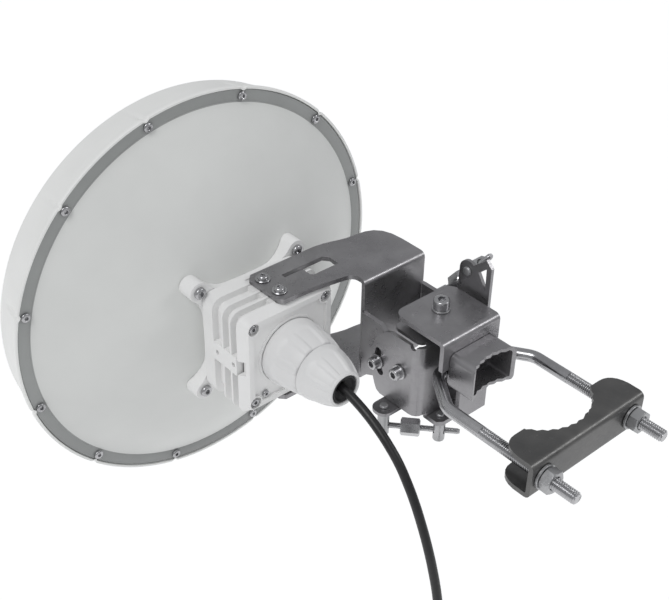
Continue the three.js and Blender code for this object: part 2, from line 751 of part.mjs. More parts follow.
function tiltBracket() {
  const plan = channelShape(TILT_X, -140, TILT_BACK_Y, TILT_SHEET, 8);
  const box = prism(plan, 'z', TILT_BOTTOM_Z, TILT_TOP_Z).intersect(
    prism(tiltSideShape(), 'x', -60, 60, 5));
  const lug = slab(-TILT_FLANGE_HALF, -118, TILT_FLANGE_HALF, TILT_BACK_Y - 6, 6);
  const flange = prism(lug, 'z', TILT_TOP_Z - TILT_SHEET, TILT_TOP_Z, 2);
  const fold = (z0, z1) => block(-26, 26, TILT_BACK_Y - 8, TILT_BACK_Y, z0, z1);
  const low = TONGUE_Z;
  const base = join([
    prism(slab(-TILT_FLANGE_HALF, -116, TILT_FLANGE_HALF, TILT_BACK_Y - 6, 6), 'z', low,
      low + TILT_SHEET, 2),
    prism(slab(10, AZ_NEAR[1] - 9, AZ_NEAR[0] + 9, AZ_NEAR[1] + 9, 8), 'z', low,
      low + TILT_SHEET, 3),
    fold(low, low + TILT_SHEET),
    block(-24, 24, TILT_BACK_Y - TILT_SHEET, TILT_BACK_Y, low, TILT_BOTTOM_Z + 1),
  ]);
  const ear = prism(tiltEarShape(), 'x', -TILT_X, -TILT_X + TILT_SHEET, 6);
  const holes = [
    cylinder('x', ELEVATION, 3.4, -50, 50, 6),
    prism(slotShape(), 'x', -50, 50, 4),
    cylinder('z', AZIMUTH, 4.4, -60, 40, 8),
    cylinder('z', AZ_NEAR, 2.4, -60, -40, 6),
    cylinder('x', EL_REAR, 2.4, -50, -30, 6),
    cylinder('x', [TILT_BACK_Y - 7.5, TILT_TOP_Z - 0.6], 2.9, 33, 41, 6),
  ];
  const whole = join([box, flange, fold(TILT_TOP_Z - TILT_SHEET, TILT_TOP_Z), base, ear]);
  add(bridge, 'tilt_bracket', cut(whole, holes), bracketSteel);
}

// A bolt through each side plate, with its washer, into the nut on the ear.
function sideBolts(name, centre) {
  for (const [hand, side] of [['near', 1], ['far', -1]]) {
    add(bridge, `${name}_bolt_${hand}`,
      capScrew('x', centre, side * (TILT_X + GAP), side * (WELD_NUT_X - 1), 5, 6, 3, 6.5),
      boltSteel);
  }
}

// ---- Pole bracket and its pivots ----------------------------------------------------------

function poleBracket() {
  const [half, front, corner] = [POLE_PLATE_HALF, -118, 9];
  const plate = new THREE.Shape();
  plate.moveTo(half, -67);
  plate.lineTo(-half, -67);
  plate.absarc(-half + corner, front + corner, corner, Math.PI, 1.5 * Math.PI, false);
  plate.absarc(half - corner, front + corner, corner, 1.5 * Math.PI, 2 * Math.PI, false);
  plate.closePath();
  const top = prism(plate, 'z', POLE_PLATE_Z - POLE_SHEET, POLE_PLATE_Z, 4);
  const fold = new THREE.Shape();
  fold.moveTo(-70, POLE_PLATE_Z - POLE_SHEET);
  fold.lineTo(-70, POLE_PLATE_Z);
  fold.absarc(POLE_WEB_Y - 5, POLE_PLATE_Z - 5, 5, Math.PI / 2, 0, true);
  fold.lineTo(POLE_WEB_Y, 9);
  fold.lineTo(POLE_WEB_Y - POLE_SHEET, 9);
  fold.absarc(POLE_WEB_Y - 5, POLE_PLATE_Z - 5, 1, 0, Math.PI / 2, false);
  fold.closePath();
  const web = prism(fold, 'x', -POLE_PLATE_HALF, POLE_PLATE_HALF, 4);
  const [webFront, webBack] = [POLE_WEB_Y - POLE_SHEET, POLE_WEB_Y];
  const neck = block(-20, 20, webFront, webBack, -8, 10);
  const leg = block(-24, 8, webFront, webBack, POLE_LOW_Z, -7);
  const foot = new THREE.Shape();
  foot.moveTo(-24, webBack);
  foot.lineTo(-24, -85);
  foot.absarc(AZIMUTH[0], AZIMUTH[1], 14, Math.PI * 1.08, Math.PI * 1.92, false);
  foot.lineTo(25, -84);
  foot.lineTo(25, -70);
  foot.lineTo(20, webFront);
  foot.lineTo(8, webFront);
  foot.lineTo(8, webBack);
  foot.closePath();
  const footPlate = prism(foot, 'z', POLE_LOW_Z, POLE_LOW_Z + POLE_SHEET, 6);
  const holes = [
    cylinder('z', AZIMUTH, 4.3, -60, 40, 8),
    cylinder('z', AZ_FAR, 2.4, -60, -40, 6),
    cylinder('y', [-10, 14], 2.8, -70, -60, 6),
    cylinder('y', [10, 14], 2.8, -70, -60, 6),
  ];
  add(bridge, 'pole_bracket', cut(join([top, web, neck, leg, footPlate]), holes), bracketSteel);
}

function azimuthPivots() {
  const top = POLE_PLATE_Z;
  add(bridge, 'azimuth_bolt', capScrew('z', AZIMUTH, top + 2.1, 12, 6.5, 8, 3.9), boltSteel);
  add(bridge, 'azimuth_washer', ring('z', AZIMUTH, 7.4, 4.3, top + GAP, top + 1.8, 10), nutSteel);
  add(bridge, 'azimuth_spacer',
    ring('z', AZIMUTH, 10, 4.3, TILT_TOP_Z + GAP, top - POLE_SHEET - GAP, 10), boltSteel);
  add(bridge, 'azimuth_nut',
    hexNut('z', AZIMUTH, 13, 4.2, 13, TILT_TOP_Z - TILT_SHEET - GAP), nutSteel);
  add(bridge, 'lower_azimuth_bolt',
    capScrew('z', AZIMUTH, POLE_LOW_Z - GAP, -37, 6.5, 8, 3.9), boltSteel);
  add(bridge, 'lower_azimuth_nut', hexNut('z', AZIMUTH, 13, 4.2, -44, -38), nutSteel);
}

// ---- Adjusting screws ---------------------------------------------------------------------

// A threaded rod with a hexagon in its middle, lying along Z from 0 to its length.
function adjuster(length, hexFrom, hexTo) {
  return join([
    cylinder('z', [0, 0], THREAD_R, -3, length, 5),
    prism(hexagon([0, 0], HEX_AF), 'z', hexFrom, hexTo),
  ]);
}

function aim(mesh, start, end) {
  const direction = end.clone().sub(start).normalize();
  mesh.position.copy(start);
  mesh.quaternion.setFromUnitVectors(new THREE.Vector3(0, 0, 1), direction);
}

// A trunnion: a round post riveted through a sheet that lies between two seats, free to turn,
// with a hole across it for the adjusting screw.
function trunnion(axis, centre, end, seats, radius, head, bore, start, finish) {
  const out = Math.sign(seats[0] - end);
  const body = spun(axis, centre, [
    [0, end],
    [radius - 0.8, end],
    [radius, end + out * 0.8],
    [radius, seats[0]],
    [2, seats[0]],
    [2, seats[1]],
    [head, seats[1]],
    [head * 0.9, seats[1] + out * 1.6],
    [head * 0.5, seats[1] + out * 2.3],
    [0, seats[1] + out * 2.3],
  ]);
  const drill = new THREE.CylinderGeometry(bore, bore, 30, 10);
  const toward = finish.clone().sub(start).normalize();
  const up = new THREE.Vector3(0, 1, 0);
  drill.applyQuaternion(new THREE.Quaternion().setFromUnitVectors(up, toward));
  drill.translate(start.x, start.y, start.z);
  return body.subtract(solid(drill));
}

function azimuthScrew() {
  const near = new THREE.Vector3(AZ_NEAR[0], AZ_NEAR[1], AZ_ROD_Z);
  const far = new THREE.Vector3(AZ_FAR[0], AZ_FAR[1], AZ_ROD_Z);
  const nearSeats = [TONGUE_Z - GAP, TONGUE_Z + TILT_SHEET + GAP];
  add(bridge, 'azimuth_trunnion_near',
    trunnion('z', AZ_NEAR, -72, nearSeats, TRUNNION_R, 4, THREAD_R + 0.3, near, far), nutSteel);
  const farSeats = [POLE_LOW_Z - GAP, POLE_LOW_Z + POLE_SHEET + GAP];
  add(bridge, 'azimuth_trunnion_far',
    trunnion('z', AZ_FAR, -73, farSeats, TRUNNION_R, 3.7, THREAD_R + 0.7, far, near), nutSteel);
  const rod = add(bridge, 'azimuth_adjuster', adjuster(62, 14, 30), boltSteel);
  aim(rod, near, far);
}

function elevationScrew() {
  const front = new THREE.Vector3(EL_ROD_X, EL_FRONT[0], EL_FRONT[1]);
  const rear = new THREE.Vector3(EL_ROD_X, EL_REAR[0], EL_REAR[1]);
  const frontSeats = [-ARM_EAR_X - GAP, -ARM_EAR_X + ARM_SHEET + GAP];
  add(bridge, 'elevation_trunnion_front',
    trunnion('x', EL_FRONT, -54, frontSeats, TRUNNION_R, 4, THREAD_R + 0.3, front, rear),
    nutSteel);
  const rearSeats = [-TILT_X - GAP, -TILT_X + TILT_SHEET + GAP];
  add(bridge, 'elevation_trunnion_rear',
    trunnion('x', EL_REAR, -54.5, rearSeats, TRUNNION_R + 1, 4, THREAD_R + 1.5, rear, front),
    nutSteel);
  const rod = add(bridge, 'elevation_adjuster', adjuster(78, 21, 37), boltSteel);
  aim(rod, front, rear);
}

// ---- Clamp --------------------------------------------------------------------------------

// The pole, with small teeth standing in, as a tool that shapes the edges that bite on it.
function toothedPole(z0, z1) {
  const teeth = 36;
  const points = [];
  for (let i = 0; i < teeth; i += 1) {
    for (const [part, radius] of [[0, POLE_R + 0.4], [0.5, POLE_R + 1.6]]) {
      const angle = ((i + part) * 2 * Math.PI) / teeth;
      points.push([radius * Math.cos(angle), radius * Math.sin(angle)]);
    }
  }
  return prism(polygon(points), 'z', z0, z1);
}

function saddle() {
  const [low, high] = SADDLE_Z;
  const middle = (low + high) / 2;
  const shape = slab(-SADDLE_HALF, low, SADDLE_HALF, high, 5);
  const sleeve = prism(shape, 'y', POLE_WEB_Y + GAP, -33, 4);
  const inner = slab(-SADDLE_HALF + 3, low + 3, SADDLE_HALF - 3, high - 3, 2);
  const hollow = prism(inner, 'y', POLE_WEB_Y + GAP + 3, -30, 4);
  const holes = [-10, 10].map((x) => cylinder('y', [x, 14], 2.8, -65, -55, 6));
  const body = cut(sleeve, [hollow, toothedPole(middle - 30, middle + 30), ...holes]);
  add(bridge, 'pole_saddle', body, bracketSteel);
  [-10, 10].forEach((x, i) => {
    const [front, back] = [POLE_WEB_Y - POLE_SHEET - GAP, POLE_WEB_Y + 2 * GAP + 3];
    const rivet = spun('y', [x, 14], [
      [0, front - 2.4], [2.6, front - 2.2], [4.2, front - 1.2], [4.5, front],
      [2.4, front], [2.4, back], [4.2, back], [3.8, back + 1.6], [2, back + 2.2],
      [0, back + 2.2],
    ]);
    add(bridge, `saddle_rivet_${i + 1}`, rivet, boltSteel);
  });
}

// The U-bolt's centreline on its +X half, from the end of its leg to the middle of the crown.
function uBoltCurve() {
  const half = [
    [U_LEG_X, U_LEG_END_Y], [U_LEG_X, -31.5], [U_LEG_X, -38.5], [U_LEG_X - 3.9, -44.5],
    [31.5, -64.5], [27, U_CROWN_Y], [19, U_CROWN_Y],
  ];
  const path = new THREE.CurvePath();
  const v = ([x, y], side) => new THREE.Vector3(side * x, y, 0);
  const arm = (side) => [
    new THREE.LineCurve3(v(half[0], side), v(half[1], side)),
    new THREE.QuadraticBezierCurve3(v(half[1], side), v(half[2], side), v(half[3], side)),
    new THREE.LineCurve3(v(half[3], side), v(half[4], side)),
    new THREE.QuadraticBezierCurve3(v(half[4], side), v(half[5], side), v(half[6], side)),
  ];
  arm(1).forEach((piece) => path.add(piece));
  path.add(new THREE.LineCurve3(v(half[6], 1), v(half[6], -1)));
  for (const piece of arm(-1).reverse()) {
    const back = piece.isLineCurve3
      ? new THREE.LineCurve3(piece.v2, piece.v1)
      : new THREE.QuadraticBezierCurve3(piece.v2, piece.v1, piece.v0);
    path.add(back);
  }
  return path;
}

function clamp() {
  const rod = new THREE.ExtrudeGeometry(disc([0, 0], U_ROD_R), {
    steps: 50,
    curveSegments: 4,
    bevelEnabled: false,
    extrudePath: uBoltCurve(),
  });
  add(bridge, 'u_bolt', solid(rod), boltSteel);

  const section = channelShape(JAW_HALF_Z, JAW_TIP_Y, JAW_BACK_Y, 4, 5);
  const channel = channelAlongX(section, -JAW_HALF, JAW_HALF);
  const plan = new THREE.Shape();
  plan.moveTo(JAW_HALF, JAW_BACK_Y);
  plan.lineTo(JAW_HALF, 40);
  plan.bezierCurveTo(JAW_HALF - 1, 30, 56, 24, 47, JAW_TIP_Y);
  plan.lineTo(30, JAW_TIP_Y);
  plan.lineTo(0, JAW_TIP_Y);
  plan.lineTo(-47, JAW_TIP_Y);
  plan.bezierCurveTo(-56, 24, -JAW_HALF + 1, 30, -JAW_HALF, 40);
  plan.lineTo(-JAW_HALF, JAW_BACK_Y);
  plan.closePath();
  const holes = [-1, 1].map((side) => cylinder('y', [side * U_LEG_X, 0], 5.6, 45, 60, 10));
  const jaw = cut(channel.intersect(prism(plan, 'z', -30, 30, 6)),
    [toothedPole(-40, 40), ...holes]);
  add(bridge, 'rear_jaw', jaw, bracketSteel);

  for (const [hand, side] of [['left', 1], ['right', -1]]) {
    const at = [side * U_LEG_X, 0];
    const washerEnd = JAW_BACK_Y + 2.3;
    add(bridge, `clamp_washer_${hand}`,
      ring('y', at, 10.2, 5.4, JAW_BACK_Y + GAP, washerEnd, 10), nutSteel);
    add(bridge, `clamp_nut_${hand}`,
      hexNut('y', at, 17, 5.3, washerEnd + GAP, washerEnd + GAP + 8, side * 0.3), nutSteel);
  }
}

// ---- Cable --------------------------------------------------------------------------------

// The cable's route from the gland's seal down to the top of its coil.
const ROUTE = [
  [93, -120, 0], [93, -111, 0], [93, -102, -0.8], [93, -91, -3.4], [93, -78, -8],
  [93, -65, -14.6], [93, -53, -22.6], [93, -42, -32.1], [93, -33, -43.2], [93, -24.4, -56],
  [93, -15, -73.5], [93, -6.6, -92], [93, 0.8, -112], [93, 6.9, -133], [93, 10.6, -153],
  [93, 12.4, -172], [93, 12.8, -190], [93, 12.8, -206],
];

function cable() {
  const curve = new THREE.CatmullRomCurve3(ROUTE.map((p) => new THREE.Vector3(...p)));
  const tube = new THREE.ExtrudeGeometry(disc([0, 0], CABLE_R), {
    steps: 22,
    curveSegments: 4,
    bevelEnabled: false,
    extrudePath: curve,
  });
  add(bridge, 'ethernet_cable', solid(tube), blackJacket);

  const [inner, outer] = [COIL_R - COIL_ACROSS, COIL_R + COIL_ACROSS];
  const coil = new THREE.LatheGeometry([
    new THREE.Vector2(inner, -COIL_DEEP),
    new THREE.Vector2(outer, -COIL_DEEP),
    new THREE.Vector2(outer, COIL_DEEP),
    new THREE.Vector2(inner, COIL_DEEP),
    new THREE.Vector2(inner, -COIL_DEEP),
  ], 32);
  coil.rotateZ(Math.PI / 2);
  coil.translate(COIL_AT.x, COIL_AT.y, COIL_AT.z);
  add(bridge, 'cable_coil', solid(coil), blackJacket);

  const plug = join([
    block(-4, 4, -11, 11, -5.8, 5.8),
    block(3.5, 6, -4, 10, -2.6, 2.6),
    block(-4.1, 4.1, -26, -10.5, -5, 5),
  ]);
  const end = add(bridge, 'end_plug', plug, feedPlastic);
  end.position.set(COIL_AT.x + COIL_DEEP + GAP + 4.1, COIL_AT.y + 16, COIL_AT.z - COIL_R);
}

radome();
rimGasket();
reflector();
adapterFlange();
flangeScrews();
radioHousing();
radioInside();
rearCover();
gland();
feed();
armBracket();
armScrews();
tiltBracket();
sideBolts('elevation_pivot', ELEVATION);
sideBolts('elevation_lock', LOCK_BOLT);
poleBracket();
azimuthPivots();
azimuthScrew();
elevationScrew();
saddle();
clamp();
cable();

export default bridge;
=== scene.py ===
# The outdoor wireless bridge's finished look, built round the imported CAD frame.
# The origin is on the pole's axis at the U-bolt, +Z is up and the dish looks along -Y.
# Lengths are in millimetres, and MM turns them into the frame's metres.

import json
from math import cos, pi, radians, sin

import bmesh
import bpy
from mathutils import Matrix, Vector

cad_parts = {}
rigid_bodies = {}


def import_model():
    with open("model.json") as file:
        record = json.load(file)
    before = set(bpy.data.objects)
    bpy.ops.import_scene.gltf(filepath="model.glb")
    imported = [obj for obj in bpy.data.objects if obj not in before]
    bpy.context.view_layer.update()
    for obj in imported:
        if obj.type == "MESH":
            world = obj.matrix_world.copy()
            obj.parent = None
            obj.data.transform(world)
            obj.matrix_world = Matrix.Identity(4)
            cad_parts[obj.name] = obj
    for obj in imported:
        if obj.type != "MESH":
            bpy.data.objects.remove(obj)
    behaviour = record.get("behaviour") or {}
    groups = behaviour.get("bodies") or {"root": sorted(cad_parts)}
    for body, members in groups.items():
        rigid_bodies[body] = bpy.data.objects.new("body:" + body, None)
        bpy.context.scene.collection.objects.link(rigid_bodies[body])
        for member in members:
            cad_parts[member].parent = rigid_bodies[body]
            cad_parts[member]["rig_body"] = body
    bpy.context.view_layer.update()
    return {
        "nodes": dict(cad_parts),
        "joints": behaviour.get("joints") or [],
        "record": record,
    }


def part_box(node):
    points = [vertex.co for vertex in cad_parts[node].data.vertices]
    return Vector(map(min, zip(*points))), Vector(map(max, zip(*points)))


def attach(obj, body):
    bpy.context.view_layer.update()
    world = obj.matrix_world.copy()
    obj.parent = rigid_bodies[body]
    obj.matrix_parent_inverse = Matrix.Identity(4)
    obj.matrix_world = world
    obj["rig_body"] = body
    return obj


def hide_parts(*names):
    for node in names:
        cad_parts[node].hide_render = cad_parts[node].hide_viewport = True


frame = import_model()
nodes = frame["nodes"]
MM = 0.001

SLOTS = {row["node"]: row["material_slot"] for row in frame["record"]["subparts"]}
PIVOTS = {joint["name"]: Vector(joint["pos_m"]) / MM
          for joint in frame["joints"] if "pos_m" in joint}
# The dish's axis, at its circle of rim screws. The gland's cap turns on the same axis.
DISH = Vector((PIVOTS["gland_cap_turn"].x, -281, 0))


# ---- Camera -------------------------------------------------------------------------------

CAMERA_AT = (0.5495, 0.3979, 0.5580)  # metres
CAMERA_TURN = (54.964, -0.864, 139.063)  # degrees


def add_camera():
    """The camera, at the photo's viewing angle."""
    data = bpy.data.cameras.new("camera")
    data.sensor_width = 36
    data.lens = 62.3
    data.clip_end = 50
    camera = bpy.data.objects.new("camera", data)
    bpy.context.scene.collection.objects.link(camera)
    camera.location = CAMERA_AT
    camera.rotation_euler = [radians(turn) for turn in CAMERA_TURN]
    bpy.context.scene.camera = camera


add_camera()


# ---- Materials ----------------------------------------------------------------------------

def new_material(name):
    """An empty node material: (material, nodes, link function, shader)."""
    made = bpy.data.materials.new(name)
    made.use_nodes = True
    tree = made.node_tree
    return made, tree.nodes, tree.links.new, tree.nodes["Principled BSDF"]


def noise(add, link, coords, scale, detail=3.0, roughness=0.5, distortion=0.0):
    """A cloudy grey value between 0 and 1."""
    made = add.new("ShaderNodeTexNoise")
    made.inputs["Scale"].default_value = scale
    made.inputs["Detail"].default_value = detail
    made.inputs["Roughness"].default_value = roughness
    made.inputs["Distortion"].default_value = distortion
    link(coords, made.inputs["Vector"])
    return made.outputs["Fac"]


def spread(add, link, value, low, high, start=0.3, end=0.7):
    """Maps a grey value from start..end to low..high."""
    made = add.new("ShaderNodeMapRange")
    made.inputs["From Min"].default_value = start
    made.inputs["From Max"].default_value = end
    made.inputs["To Min"].default_value = low
    made.inputs["To Max"].default_value = high
    link(value, made.inputs["Value"])
    return made.outputs["Result"]


def blend_colors(add, link, amount, first, second):
    """A mix of two colours; each is a colour or a socket."""
    made = add.new("ShaderNodeMix")
    made.data_type = "RGBA"
    link(amount, made.inputs[0])
    for socket, value in ((made.inputs[6], first), (made.inputs[7], second)):
        if isinstance(value, bpy.types.NodeSocket):
            link(value, socket)
        else:
            socket.default_value = (*value, 1)
    return made.outputs[2]


def bumped(add, link, shader, heights):
    """Stacks bumps: each is (height socket, strength, distance in metres)."""
    last = None
    for height, strength, distance in heights:
        bump = add.new("ShaderNodeBump")
        bump.inputs["Strength"].default_value = strength
        bump.inputs["Distance"].default_value = distance
        link(height, bump.inputs["Height"])
        if last:
            link(last, bump.inputs["Normal"])
        last = bump.outputs["Normal"]
    link(last, shader.inputs["Normal"])


def scaled(add, link, coords, scale):
    """Coordinates stretched along each axis, which draws noise out into streaks."""
    made = add.new("ShaderNodeMapping")
    made.inputs["Scale"].default_value = scale
    link(coords, made.inputs["Vector"])
    return made.outputs["Vector"]


BRUSHED = (40, 40, 260)  # how finely the brushed streaks vary along X, Y and Z


def moulded(name, color, grain=900, rough=(0.38, 0.52), bump=0.12, dirt=0.06):
    """Moulded plastic or powder coat: a fine grain, faint blotches and a little dust."""
    made, add, link, shader = new_material(name)
    coords = add.new("ShaderNodeTexCoord").outputs["Object"]
    fine = noise(add, link, coords, grain, 2)
    broad = noise(add, link, coords, 14, 4, 0.55)
    dark = tuple(c * (1 - dirt) for c in color)
    pale = tuple(min(1, c * 1.02) for c in color)
    tone = spread(add, link, broad, 0, 1)
    link(blend_colors(add, link, tone, dark, pale), shader.inputs["Base Color"])
    link(spread(add, link, fine, *rough), shader.inputs["Roughness"])
    bumped(add, link, shader, [(fine, bump, 0.0002), (broad, 0.08, 0.001)])
    return made


def sheet_steel(name, dark, pale, rough=(0.3, 0.5), metallic=0.85, relief=1.0):
    """Bare or plated metal: brushed streaks, cloudy patches and small scuffs."""
    made, add, link, shader = new_material(name)
    coords = add.new("ShaderNodeTexCoord").outputs["Object"]
    cloud = noise(add, link, coords, 28, 5, 0.6, 0.4)
    grain = noise(add, link, scaled(add, link, coords, BRUSHED), 6, 4, 0.6)
    speck = noise(add, link, coords, 700, 2)
    tone = blend_colors(add, link, spread(add, link, cloud, 0, 1), dark, pale)
    bright = tuple(min(1, c * 1.6 + 0.03) for c in pale)
    scuffs = spread(add, link, noise(add, link, coords, 90, 6, 0.7, 1.2), 0, 0.35, 0.62, 0.72)
    link(blend_colors(add, link, scuffs, tone, bright), shader.inputs["Base Color"])
    shader.inputs["Metallic"].default_value = metallic
    mixed = add.new("ShaderNodeMath")
    mixed.operation = "ADD"
    link(spread(add, link, grain, *rough), mixed.inputs[0])
    link(spread(add, link, cloud, -0.05, 0.08), mixed.inputs[1])
    link(mixed.outputs[0], shader.inputs["Roughness"])
    bumped(add, link, shader, [(speck, 0.1 * relief, 0.0001), (grain, 0.06 * relief, 0.0002),
                               (cloud, 0.1 * relief, 0.0006)])
    return made


def rubber(name, color=(0.012, 0.012, 0.013)):
    """Matt black rubber or strap: a fine grain and a little dust."""
    made, add, link, shader = new_material(name)
    coords = add.new("ShaderNodeTexCoord").outputs["Object"]
    fine = noise(add, link, coords, 1200, 2)
    broad = noise(add, link, coords, 60, 3)
    dusty = tuple(c + 0.02 for c in color)
    link(blend_colors(add, link, spread(add, link, broad, 0, 1), color, dusty),
         shader.inputs["Base Color"])
    link(spread(add, link, fine, 0.55, 0.8), shader.inputs["Roughness"])
    bumped(add, link, shader, [(fine, 0.2, 0.0002)])
    return made


def jacket(name):
    """A cable's extruded jacket: near black, slightly uneven, with a soft sheen."""
    made, add, link, shader = new_material(name)
    coords = add.new("ShaderNodeTexCoord").outputs["Object"]
    fine = noise(add, link, coords, 500, 3)
    broad = noise(add, link, coords, 45, 3)
    link(blend_colors(add, link, spread(add, link, broad, 0, 1), (0.006, 0.006, 0.0065),
                      (0.014, 0.014, 0.015)), shader.inputs["Base Color"])
    link(spread(add, link, fine, 0.32, 0.5), shader.inputs["Roughness"])
    bumped(add, link, shader, [(fine, 0.12, 0.0002), (broad, 0.05, 0.0008)])
    return made


def circuit_green(name):
    """A circuit board's green lacquer, with a fine cellular relief."""
    made, add, link, shader = new_material(name)
    coords = add.new("ShaderNodeTexCoord").outputs["Object"]
    cells = add.new("ShaderNodeTexVoronoi")
    cells.inputs["Scale"].default_value = 260
    link(coords, cells.inputs["Vector"])
    link(blend_colors(add, link, spread(add, link, cells.outputs["Distance"], 0, 1, 0.1, 0.5),
                      (0.02, 0.10, 0.05), (0.03, 0.16, 0.08)), shader.inputs["Base Color"])
    link(spread(add, link, noise(add, link, coords, 300), 0.3, 0.5), shader.inputs["Roughness"])
    bumped(add, link, shader, [(cells.outputs["Distance"], 0.2, 0.0002)])
    return made


looks = {
    "white_plastic": moulded("white_plastic", (0.86, 0.865, 0.85), 1400, (0.35, 0.5), 0.10),
    "gland_plastic": moulded("gland_plastic", (0.74, 0.74, 0.74), 1600, (0.38, 0.55), 0.12),
    "dish_paint": moulded("dish_paint", (0.70, 0.71, 0.695), 2200, (0.42, 0.6), 0.15, 0.04),
    "rim_paint": moulded("rim_paint", (0.34, 0.35, 0.345), 2200, (0.35, 0.55), 0.15, 0.1),
    "radio_paint": moulded("radio_paint", (0.82, 0.82, 0.815), 2000, (0.4, 0.58), 0.14, 0.05),
    "bracket_steel": sheet_steel("bracket_steel", (0.25, 0.245, 0.255), (0.35, 0.345, 0.355),
                                 (0.24, 0.4)),
    # bracket_steel_edge is a brighter copy of the bracket steel for the bevelled edges: a painted
    # highlight.
    "bracket_steel_edge": sheet_steel("bracket_steel_edge", (0.32, 0.32, 0.33),
                                      (0.50, 0.50, 0.51), (0.22, 0.36)),
    # jaw_steel is a darker copy of the bracket steel: painted shade that stands in for the shade
    # of the pole beside the jaw.
    "jaw_steel": sheet_steel("jaw_steel", (0.10, 0.10, 0.10), (0.16, 0.158, 0.155),
                             (0.28, 0.44)),
    # jaw_steel_edge is a brighter copy of the jaw steel for its bevelled edges: a painted
    # highlight.
    "jaw_steel_edge": sheet_steel("jaw_steel_edge", (0.22, 0.22, 0.22), (0.36, 0.36, 0.36),
                                  (0.22, 0.36)),
    "bolt_steel": sheet_steel("bolt_steel", (0.34, 0.34, 0.35), (0.50, 0.50, 0.51),
                              (0.14, 0.26), 0.95, relief=0.4),
    "nut_steel": sheet_steel("nut_steel", (0.34, 0.345, 0.35), (0.48, 0.48, 0.49),
                             (0.26, 0.42), 0.8),
    "bare_aluminium": sheet_steel("bare_aluminium", (0.50, 0.51, 0.52), (0.60, 0.61, 0.62),
                                  (0.3, 0.45), 0.9),
    "black_rubber": rubber("black_rubber"),
    "black_jacket": jacket("black_jacket"),
    "feed_plastic": moulded("feed_plastic", (0.72, 0.71, 0.67), 1500, (0.35, 0.5), 0.1),
    "board_green": circuit_green("board_green"),
    "strap_weave": rubber("strap_weave", (0.018, 0.018, 0.02)),
    "clear_plastic": moulded("clear_plastic", (0.70, 0.72, 0.72), 1200, (0.12, 0.25), 0.05),
    "gold": sheet_steel("gold", (0.75, 0.52, 0.18), (0.85, 0.62, 0.25), (0.15, 0.3), 1.0),
}


# ---- Piece making -------------------------------------------------------------------------

def piece(name, mesh, body, slot, replaces=(), look=None, smooth=35):
    """Puts a bmesh in the scene as a piece that rides on a body."""
    bmesh.ops.recalc_face_normals(mesh, faces=mesh.faces)
    data = bpy.data.meshes.new(name)
    mesh.to_mesh(data)
    mesh.free()
    made = bpy.data.objects.new(name, data)
    bpy.context.scene.collection.objects.link(made)
    data.materials.append(looks[look or slot])
    data.shade_smooth()
    data.set_sharp_from_angle(angle=radians(smooth))
    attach(made, body)
    if replaces:
        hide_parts(*replaces)
    return made


def body_of(node):
    """The name of the body that a CAD node rides on."""
    return nodes[node]["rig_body"]


def bevelled(made, width, segments=2, angle=30):
    """Rounds a piece's edges, and lays the edge look on the rounding where it has one: a painted
    highlight.
    """
    bevel = made.modifiers.new("rounded_edges", "BEVEL")
    # The edge look is a brighter copy of the steel: a painted highlight along the rounding.
    edge_highlight_look = looks.get(made.data.materials[0].name + "_edge")
    if edge_highlight_look:
        made.data.materials.append(edge_highlight_look)
        bevel.material = 1
    bevel.width = width * MM
    bevel.segments = segments
    bevel.limit_method = "ANGLE"
    bevel.angle_limit = radians(angle)
    bevel.use_clamp_overlap = True
    weighted = made.modifiers.new("flat_faces_stay_flat", "WEIGHTED_NORMAL")
    weighted.keep_sharp = True
    weighted.weight = 80
    return made


def refined(node, width=0.4, segments=2, look=None, angle=32, smooth=35):
    """A copy of a CAD node with clean faces and rounded edges, standing for the node."""
    mesh = bmesh.new()
    mesh.from_mesh(nodes[node].data)
    bmesh.ops.remove_doubles(mesh, verts=mesh.verts, dist=0.02 * MM)
    bmesh.ops.dissolve_limit(mesh, angle_limit=radians(1.0), verts=mesh.verts,
                             edges=mesh.edges)
    made = piece(node + "_finished", mesh, body_of(node), SLOTS[node], [node], look, smooth)
    return bevelled(made, width, segments, angle)


AXES = {
    "x": (Vector((0, 1, 0)), Vector((0, 0, 1)), Vector((1, 0, 0))),
    "y": (Vector((1, 0, 0)), Vector((0, 0, 1)), Vector((0, 1, 0))),
    "z": (Vector((1, 0, 0)), Vector((0, 1, 0)), Vector((0, 0, 1))),
}


def axes_of(axis):
    """The two cross directions and the direction of a named axis, or of any direction."""
    if isinstance(axis, str):
        return AXES[axis]
    along = Vector(axis).normalized()
    across = along.cross(Vector((0, 0, 1))).normalized()
    return across, along.cross(across), along


def skinned(mesh, rings, wrap):
    """Faces between rings of points, each ring a closed loop; wrap joins the last to the first."""
    made = [[mesh.verts.new(point) for point in ring] for ring in rings]
    count = len(rings[0])
    for k in range(len(made) if wrap else len(made) - 1):
        first, second = made[k], made[(k + 1) % len(made)]
        for i in range(count):
            j = (i + 1) % count
            mesh.faces.new((first[i], first[j], second[j], second[i]))
    return made


def capped(mesh, rings):
    """A closed tube through rings of points, with a flat face over each end."""
    made = skinned(mesh, rings, False)
    mesh.faces.new(made[0])
    mesh.faces.new(made[-1])


def hexagonal(angle, flat):
    """How far the outline of a hexagon is from its middle at an angle."""
    return flat / cos((angle + pi / 6) % (pi / 3) - pi / 6)


